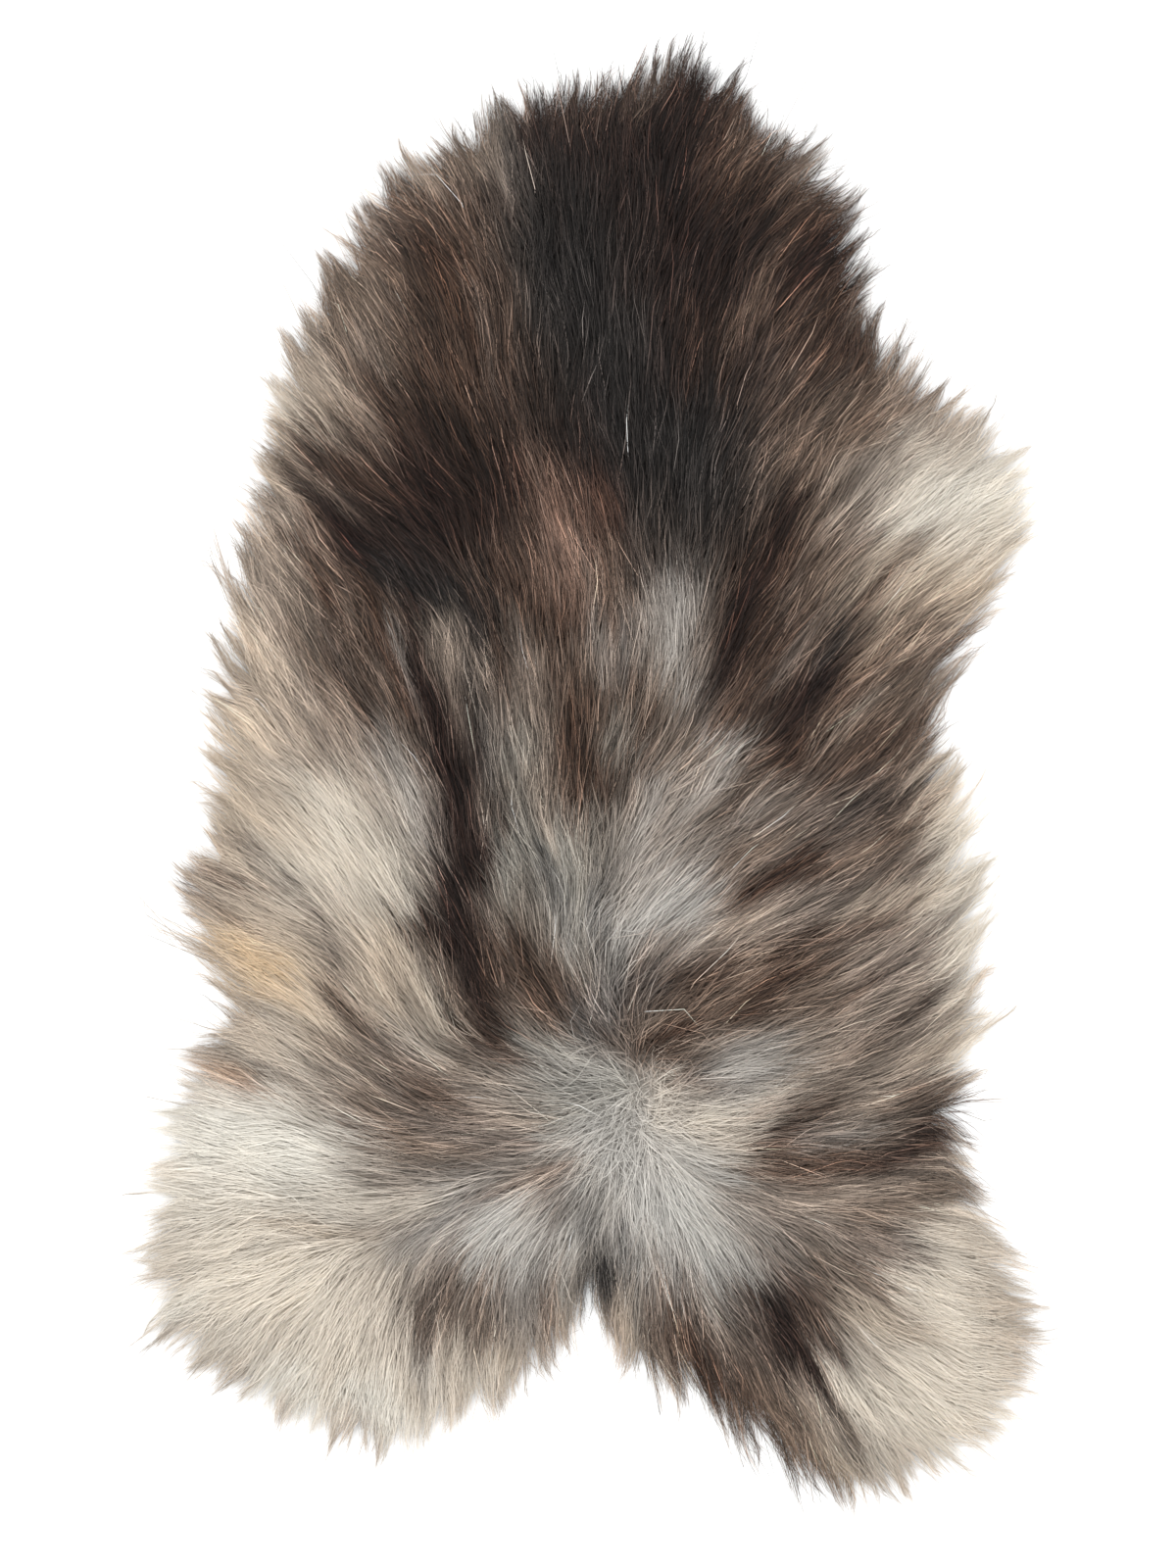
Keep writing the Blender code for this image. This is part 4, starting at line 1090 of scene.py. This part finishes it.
@dataclass
class Wool:
    """One coat of hairs, each a narrow ribbon of four faces that follows the combing.

    A hair strays from the combing by some degrees, more in a whorl, and lies higher or lower than the wool's
    own height. Its reach past the hide's edge, up to a little past the outline, is thinned out by a power
    of a random share, and a coat that is held back reaches less far. A rim share near one puts most roots
    beside the edge. Odd hairs are of another colour than the wool around them.
    """

    skin: Skin
    name: str
    length: tuple[float, float]
    width: tuple[float, float]
    stray: float
    height: tuple[float, float]
    big: Locks
    small: Locks
    contrast: float
    odd: float
    pieces: int = 1
    hairs: int = 26000
    tries: int = 24
    shade: float = 1.0
    roll: float = 18.0
    wave: float = 80 * MM
    smear: float = 6 * MM
    streak_depth: float = 0.09
    streak_shift: float = 6 * MM
    rim_spread: float = 0.28
    smear_across: float = 2.5 * MM
    odd_depth: float = 0.34
    odd_in_dark: float = 0.6
    past_outline: float = 15 * MM
    held_back: float = 0.0
    thinning: float = 1.6
    shortest: float = 0.12
    fittings: int = 3
    rim_sway: float = 2.0
    rim_share: float = 0.0
    pale_glow: float = 1.0
    whorl_stray: float = 7.0
    phase_spread: float = 0.5
    root_level: float = 2 * MM
    full_lift_height: float = 30 * MM
    least_lift: float = 0.15
    gathering: float = 1.2
    most_pull: float = 0.97
    marking_at_middle: float = 0.3
    pale_from: float = 0.42
    darkest: float = 0.02
    lightest: float = 0.97
    seed: int = 1
    finish: WoolFinish = WoolFinish("combed_wool")

    def build(self) -> list[bpy.types.Object]:
        """Grow the coat, piece by piece."""
        material = self.finish.make()
        return [self.grow(index, material) for index in range(self.pieces)]

    def roots(self, rng: np.random.Generator) -> np.ndarray:
        """Scatter the roots over the hide, denser where the combing spreads.

        Fewer come out than asked for where a high rim share turns most of the tried places down.
        """
        low, high = self.skin.grid.min(axis=(0, 1)), self.skin.grid.max(axis=(0, 1))
        tried = rng.uniform(low, high, size=(self.tries * self.hairs, 2))
        tried = tried[self.skin.inset(tried) > 0]
        chance = rng.uniform(0, self.skin.most_dense, len(tried))
        share = 1.0 - self.rim_share * (1.0 - self.skin.rimness(tried) ** 2)
        return tried[chance < self.skin.density.at(tried) * share][: self.hairs]

    def swayed(self, places: np.ndarray, locks: Locks) -> np.ndarray:
        """Work out how far the wool waves, in radians: more towards the rim."""
        return math.radians(locks.sway) * (1.0 + self.rim_sway * self.skin.rimness(places))

    def kept_in(
        self, paths: np.ndarray, length: np.ndarray, past: np.ndarray, full: np.ndarray
    ) -> np.ndarray:
        """Fit the length of hairs, so that no tip lies further past the outline than it may.

        Args:
            paths: the hairs as they run at their present length.
            length: that length.
            past: how far past the outline each tip may lie. It is negative where the tip has to stay inside.
            full: the length that each hair would have inland.
        """
        over = -self.skin.inside(paths[:, -1, :2], self.skin.outline) - past
        return np.clip(length - over, self.shortest * full, full)

    def paths(
        self, roots: np.ndarray, length: np.ndarray, turn: np.ndarray, phase: np.ndarray,
        sway: np.ndarray, lift: np.ndarray,
    ) -> np.ndarray:
        """Carry hairs from their roots along the combing.

        Each section runs on from the last in the direction that the wool lies halfway along it, turned by
        the hair's own turn and by a wave: a sine of the run over the wave's length, which grows from the
        root. The height is the wool's height there times the section's rise, plus the hair's own lift, which
        counts less where the wool is low.

        Returns:
            The points, by hair, section and coordinate.
        """
        place = roots
        flat = [place]
        for last, section in zip(SECTIONS, SECTIONS[1:]):
            run = (length * (section.run - last.run))[:, None]
            halfway = place + self.skin.lie.at(place) * run / 2
            middle = (section.run + last.run) / 2
            wave = sway * middle * np.sin(2 * math.pi * length * middle / self.wave + phase)
            place = place + run * turned(self.skin.lie.at(halfway), turn + wave)
            flat.append(place)
        flat = np.stack(flat, axis=1)
        rise = np.array([section.rise for section in SECTIONS])
        top = self.skin.height.at(flat)
        rim = np.clip(top / self.full_lift_height, self.least_lift, 1.0)
        height = self.root_level + np.maximum(top * rise + lift[:, None] * rise * rim, 0.0)
        return np.concatenate([flat, height[..., None]], axis=-1)

    def lock_paths(self, locks: Locks, guides: dict[str, np.ndarray]) -> np.ndarray:
        """Carry the guides of some locks along the combing, as middling hairs kept to the outline."""
        shape = guides["turn"].shape
        places = guides["place"].reshape(-1, 2)
        turn, phase, lift = (guides[name].ravel() for name in ("turn", "phase", "lift"))
        full = np.mean(self.length) * guides["length"].ravel()
        past = self.past_outline - self.skin.fringe(places) * guides["short"].ravel()
        length = full
        for _ in range(self.fittings):
            paths = self.paths(places, length, turn, phase, self.swayed(places, locks), lift)
            length = self.kept_in(paths, length, past, full)
        return paths.reshape(*shape, len(SECTIONS), 3)

    def gathered(
        self, paths: np.ndarray, locks: Locks, guides: dict[str, np.ndarray],
        chosen: tuple[np.ndarray, np.ndarray],
    ) -> np.ndarray:
        """Draw hairs sideways towards their lock's guide, more and more towards their tips.

        Seen from above, only the part of the gap that lies square to the hair counts, so a lock thins out
        to a point.
        """
        run = np.array([section.run for section in SECTIONS])
        out = self.skin.outwardness(paths[..., :2])
        pull = guides["pull"][chosen][:, None] * run**self.gathering
        pull = np.clip(pull + guides["rim_pull"][chosen][:, None] * out, 0.0, self.most_pull)
        gap = self.lock_paths(locks, guides)[chosen] - paths
        along = unit(np.gradient(paths[..., :2], axis=1))
        gap[..., :2] -= (gap[..., :2] * along).sum(axis=-1, keepdims=True) * along
        return paths + gap * pull[..., None]

    def grow(self, index: int, material: bpy.types.Material) -> bpy.types.Object:
        """Make one piece of the coat."""
        rng = np.random.default_rng((self.seed, index))
        roots = self.roots(rng)
        count = len(roots)
        big, small = self.big.guides(self.skin), self.small.guides(self.skin)
        in_big, in_small = self.big.nearest(big, roots), self.small.nearest(small, roots)
        full = rng.uniform(*self.length, count) * big["length"][in_big] * small["length"][in_small]
        full *= 1.0 + rng.uniform(-1, 1, count) * self.rim_spread * self.skin.rimness(roots)
        agreement = np.linalg.norm(self.skin.lie.at(roots), axis=1)
        stray = self.stray * (1.0 + self.whorl_stray * (1.0 - agreement))
        turn = np.radians(rng.normal(0, 1, count) * stray) + big["turn"][in_big] + small["turn"][in_small]
        lift = rng.uniform(*self.height, count) + big["lift"][in_big] + small["lift"][in_small]
        sway = self.swayed(roots, self.big)
        phase = big["phase"][in_big] + rng.normal(0, self.phase_spread, count)
        reach = (1.0 - self.held_back) * (1.0 - big["short"][in_big] - small["short"][in_small])
        reach *= rng.uniform(0, 1, count) ** self.thinning
        past = self.past_outline - (self.skin.fringe(roots) + self.past_outline) * (1.0 - reach)
        length = full
        for _ in range(self.fittings):
            paths = self.paths(roots, length, turn, phase, sway, lift)
            paths = self.gathered(paths, self.small, small, in_small)
            paths = self.gathered(paths, self.big, big, in_big)
            length = self.kept_in(paths, length, past, full)
        width = rng.uniform(*self.width, count)
        points = self.ribbons(paths, width, np.radians(rng.normal(0, self.roll, count)))
        corners, starts = self.ribbon_faces(count)
        piece = mesh_piece(f"{self.name}_{index + 1}", points, corners, starts, material)
        lock_shade = big["shade"][in_big] + small["shade"][in_small]
        lock_marking = big["marking"][in_big] + small["marking"][in_small]
        set_tone(piece, self.tones(paths, lock_shade, lock_marking, rng))
        self.lay_out_map(piece, count)
        return piece

    def ribbons(self, paths: np.ndarray, width: np.ndarray, roll: np.ndarray) -> np.ndarray:
        """Widen each path into a ribbon.

        Its width lies square to its run: mostly level, and turned about the run by the hair's roll. The
        last section is one point.
        """
        run = unit(np.gradient(paths, axis=1))
        level = unit(np.cross(np.broadcast_to([0.0, 0.0, 1.0], run.shape), run))
        upright = np.cross(run, level)
        side = level * np.cos(roll)[:, None, None] + upright * np.sin(roll)[:, None, None]
        shares = np.array([section.width for section in SECTIONS])
        half = side * (width[:, None] * shares / 2)[..., None]
        left, right = paths + half, paths - half
        both = np.stack([right[:, :-1], left[:, :-1]], axis=2).reshape(len(paths), -1, 3)
        return np.concatenate([both, paths[:, -1:]], axis=1).reshape(-1, 3)

    @staticmethod
    def ribbon_faces(count: int) -> tuple[np.ndarray, np.ndarray]:
        """Number the faces of every ribbon: a quad between sections and a triangle at the tip."""
        bands = len(SECTIONS) - 2
        per_hair = 2 * (len(SECTIONS) - 1) + 1
        band = 2 * np.arange(bands)[:, None]
        quads = (band + np.array([0, 2, 3, 1])).ravel()
        tip = np.array([2 * bands, per_hair - 1, 2 * bands + 1])
        pattern = np.concatenate([quads, tip])
        corners = (np.arange(count)[:, None] * per_hair + pattern).ravel()
        starts = np.append(4 * np.arange(bands), 4 * bands)
        return corners, (np.arange(count)[:, None] * len(pattern) + starts).ravel()

    @staticmethod
    def shown(light: np.ndarray) -> tuple[np.ndarray, np.ndarray]:
        """Work out how much single hairs and locks differ in shade on wool of some lightness.

        Single hairs stand out most on dark wool, and locks most on wool between dark and pale.
        """
        middling = 0.4
        hairs = np.clip(2.0 - 2.4 * light, 0.15, 1.8)
        locks = np.clip(1.0 - 1.9 * np.abs(light - middling), 0.12, 0.9)
        return hairs, locks

    def tones(
        self, paths: np.ndarray, lock_shade: np.ndarray, lock_marking: np.ndarray, rng: np.random.Generator
    ) -> np.ndarray:
        """Colour every point of the ribbons.

        A hair takes the markings at a place shaken along the combing, by hair, by lock and by streak:
        mostly those of each point and a share of those of its middle, so that markings end in streaks. An
        odd hair is drawn towards umber on pale wool and towards silver on dark wool. Lightness then varies
        by hair, by lock and by streak, less on pale wool, and falls towards the root, which lies in the
        shade of its neighbours. It falls less in pale wool, which lets light through.
        """
        count = len(paths)
        flat = paths[..., :2]
        lie = self.skin.lie.at(flat[:, 2])
        across = np.stack([-lie[:, 1], lie[:, 0]], axis=-1)
        along = rng.normal(0, self.smear, (count, 1)) + lock_marking[:, None]
        shake = lie * along + across * rng.normal(0, self.smear_across, (count, 1))
        streaks = self.skin.streaks.at(flat)
        drawn = lie[:, None] * self.streak_shift * streaks[..., 1:]
        local = self.skin.colour.at(flat + shake[:, None] + drawn)
        colour = (1.0 - self.marking_at_middle) * local + self.marking_at_middle * local[:, 3:4]
        light = colour.mean(axis=-1, keepdims=True)
        is_odd = rng.uniform(0, 1, (count, 1, 1)) < self.odd
        is_pale = light > self.pale_from
        target = np.where(is_pale, hex_to_srgb(UMBER.value), hex_to_srgb(SILVER.value))
        hair_share, lock_share = self.shown(light)
        depth = is_odd * rng.uniform(0.3, 1.0, (count, 1, 1)) * self.odd_depth * lock_share
        depth = depth * np.where(is_pale, 1.0, self.odd_in_dark)
        colour = colour + depth * (target - colour)
        own = rng.normal(0, 1, (count, 1, 1))
        by_lock = lock_shade[:, None, None] + self.streak_depth * streaks @ np.array(STREAK_MIX)[:, None]
        shade = np.exp(own * self.contrast * hair_share + by_lock * lock_share) * self.shade
        falls = np.array([section.shade for section in SECTIONS])[None, :, None]
        falls = 1.0 - (1.0 - falls) * (1.0 - self.pale_glow * light)
        colour = np.clip(colour * shade * falls, self.darkest, self.lightest)
        both = np.repeat(colour[:, :-1], 2, axis=1)
        return np.concatenate([both, colour[:, -1:]], axis=1).reshape(-1, 3)

    @staticmethod
    def lay_out_map(piece: bpy.types.Object, count: int) -> None:
        """Give every ribbon its own cell of the bake map, a tall one, clear of its neighbours."""
        columns = int(math.ceil(math.sqrt(count * CELL_RATIO)))
        rows = int(math.ceil(count / columns))
        bands = len(SECTIONS) - 2
        up = np.arange(len(SECTIONS)) / (len(SECTIONS) - 1)
        pair = np.stack([np.zeros(bands + 1), up[:-1]], axis=1)
        left, right = pair + (CELL_SIDE, 0.0), pair + (1 - CELL_SIDE, 0.0)
        both = np.stack([left, right], axis=1).reshape(-1, 2)
        cell = np.concatenate([both, [[0.5, 1.0]]]) * (1.0, 1 - 2 * CELL_END) + (0.0, CELL_END)
        index = np.arange(count)
        corner = np.stack([index % columns, index // columns], axis=1)
        places = (corner[:, None] + cell[None]) / (columns, rows)
        vertex = np.empty(len(piece.data.loops), dtype=np.int32)
        piece.data.loops.foreach_get("vertex_index", vertex)
        layer = piece.data.uv_layers.new(name=BAKE_MAP)
        layer.data.foreach_set("uv", places.reshape(-1, 2)[vertex].astype(np.float32).ravel())


@dataclass
class Fleece:
    """Everything that grows on the hide, from the skin up."""

    skin: Skin
    big: Locks = Locks(
        spacing=30 * MM, pull=0.2, rim_pull=0.5, heading_spread=6.0, length_spread=0.14,
        lift_spread=2.0 * MM, shade_spread=0.05, marking_spread=4 * MM, tuft_spread=0.15, sway=13.0, seed=31,
    )
    small: Locks = Locks(
        spacing=13 * MM, pull=0.22, rim_pull=1.15, heading_spread=4.0, length_spread=0.12,
        lift_spread=1.2 * MM, shade_spread=0.06, marking_spread=4 * MM, tuft_spread=0.38, sway=13.0, seed=32,
    )

    def coats(self) -> list[Wool]:
        """List the coats, from the lowest to the topmost."""
        shared = {"skin": self.skin, "big": self.big, "small": self.small}
        return [
            # The short wool lies lowest, so its shade of 0.94 is painted shade.
            Wool(
                name="short_wool", length=(30 * MM, 46 * MM), width=(0.6 * MM, 1.0 * MM), stray=12.0,
                height=(-7 * MM, -3 * MM), contrast=0.12, odd=0.02, shade=0.94, held_back=0.6, seed=41,
                **shared,
            ),
            Wool(
                name="outer_wool", pieces=2, length=(44 * MM, 72 * MM), width=(0.34 * MM, 0.58 * MM),
                stray=7.0, height=(-4 * MM, 1 * MM), contrast=0.22, odd=0.06, held_back=0.12, thinning=0.9,
                seed=42, **shared,
            ),
            Wool(
                name="rim_wool", length=(86 * MM, 116 * MM), width=(0.3 * MM, 0.5 * MM), stray=6.0,
                height=(-4 * MM, 1 * MM), contrast=0.2, odd=0.08, rim_share=0.93, thinning=0.55, seed=44,
                **shared,
            ),
            Wool(
                name="guard_hair", length=(58 * MM, 92 * MM), width=(0.26 * MM, 0.4 * MM), stray=10.0,
                height=(-1 * MM, 2.5 * MM), contrast=0.3, odd=0.25, thinning=0.7, seed=43, **shared,
            ),
        ]


@dataclass
class Studio:
    """A pale seamless floor, soft light from all round and a softbox, and the camera straight above."""

    skin: Skin
    camera_height: float = 3.0
    view_length: float = PHOTO_SIZE[1] * PHOTO_PIXEL
    wool_level: float = 30 * MM
    sensor: float = 36.0
    floor_half: float = 6.0
    floor_level: float = -0.2 * MM
    world_strength: float = 1.3
    softbox_power: float = 70.0
    softbox_size: float = 2.6
    softbox_place: tuple[float, float, float] = (-1.6, 1.5, 3.2)

    def build(self) -> None:
        """Set up everything that isn't the sheepskin."""
        self.add_floor()
        self.add_light()
        self.add_camera()

    def add_floor(self) -> None:
        """Lay the floor just under the leather."""
        half, level = self.floor_half, self.floor_level
        corners = ((-half, -half), (half, -half), (half, half), (-half, half))
        points = np.array([(x, y, level) for x, y in corners])
        material, tree, shader = new_material("painted_floor")
        place = add_node(tree, "ShaderNodeTexCoord", {})
        noise = add_node(tree, "ShaderNodeTexNoise", {}, Vector=place.outputs["Object"], Scale=40.0)
        ramp = add_node(tree, "ShaderNodeValToRGB", {}, Fac=noise.outputs["Fac"])
        ramp.color_ramp.elements[0].color = (0.90, 0.90, 0.90, 1)
        ramp.color_ramp.elements[1].color = (0.93, 0.93, 0.93, 1)
        tree.links.new(ramp.outputs["Color"], shader.inputs["Base Color"])
        shader.inputs["Roughness"].default_value = 0.9
        mesh_piece("floor", points, np.arange(4), np.array([0]), material)

    def add_light(self) -> None:
        """Light the studio evenly, with a softbox off the shoulder that models the wool."""
        world = bpy.data.worlds.new("studio")
        world.use_nodes = True
        background = world.node_tree.nodes["Background"]
        background.inputs["Color"].default_value = (1.0, 1.0, 1.0, 1.0)
        background.inputs["Strength"].default_value = self.world_strength
        bpy.context.scene.world = world
        lamp = bpy.data.lights.new("softbox", "AREA")
        lamp.shape = "SQUARE"
        lamp.size = self.softbox_size
        lamp.energy = self.softbox_power
        holder = bpy.data.objects.new("softbox", lamp)
        holder.location = self.softbox_place
        holder.rotation_mode = "QUATERNION"
        holder.rotation_quaternion = (-Vector(self.softbox_place)).to_track_quat("-Z", "Y")
        bpy.context.scene.collection.objects.link(holder)

    def add_camera(self) -> None:
        """Hang the camera straight above the picture's middle, with the neck at the top of the frame."""
        middle = photo_places(np.array(PHOTO_SIZE) / 2)
        lens = bpy.data.cameras.new("camera")
        lens.sensor_width = self.sensor
        lens.lens = self.sensor * (self.camera_height - self.wool_level) / self.view_length
        camera = bpy.data.objects.new("camera", lens)
        camera.location = (middle[0], middle[1], self.camera_height)
        bpy.context.scene.collection.objects.link(camera)
        bpy.context.scene.camera = camera
        bpy.context.scene.view_settings.view_transform = "Standard"


def dress(piece: bpy.types.Object) -> None:
    """Let a finished piece ride on the part's one body, and log how many faces it has."""
    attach(piece, "root")
    log.info("%s: %d faces", piece.name, len(piece.data.polygons))


def main() -> None:
    """Build the sheepskin and its studio."""
    logging.basicConfig(level=logging.INFO, format="%(name)s: %(message)s")
    skin = Skin()
    Studio(skin).build()
    leather = Leather(skin)
    hide = leather.build()
    dress(hide)
    undercoat = Undercoat(skin).build()
    dress(undercoat)
    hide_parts(skin.node)
    for coat in Fleece(skin).coats():
        for piece in coat.build():
            dress(piece)


if __name__ == "__main__":
    main()
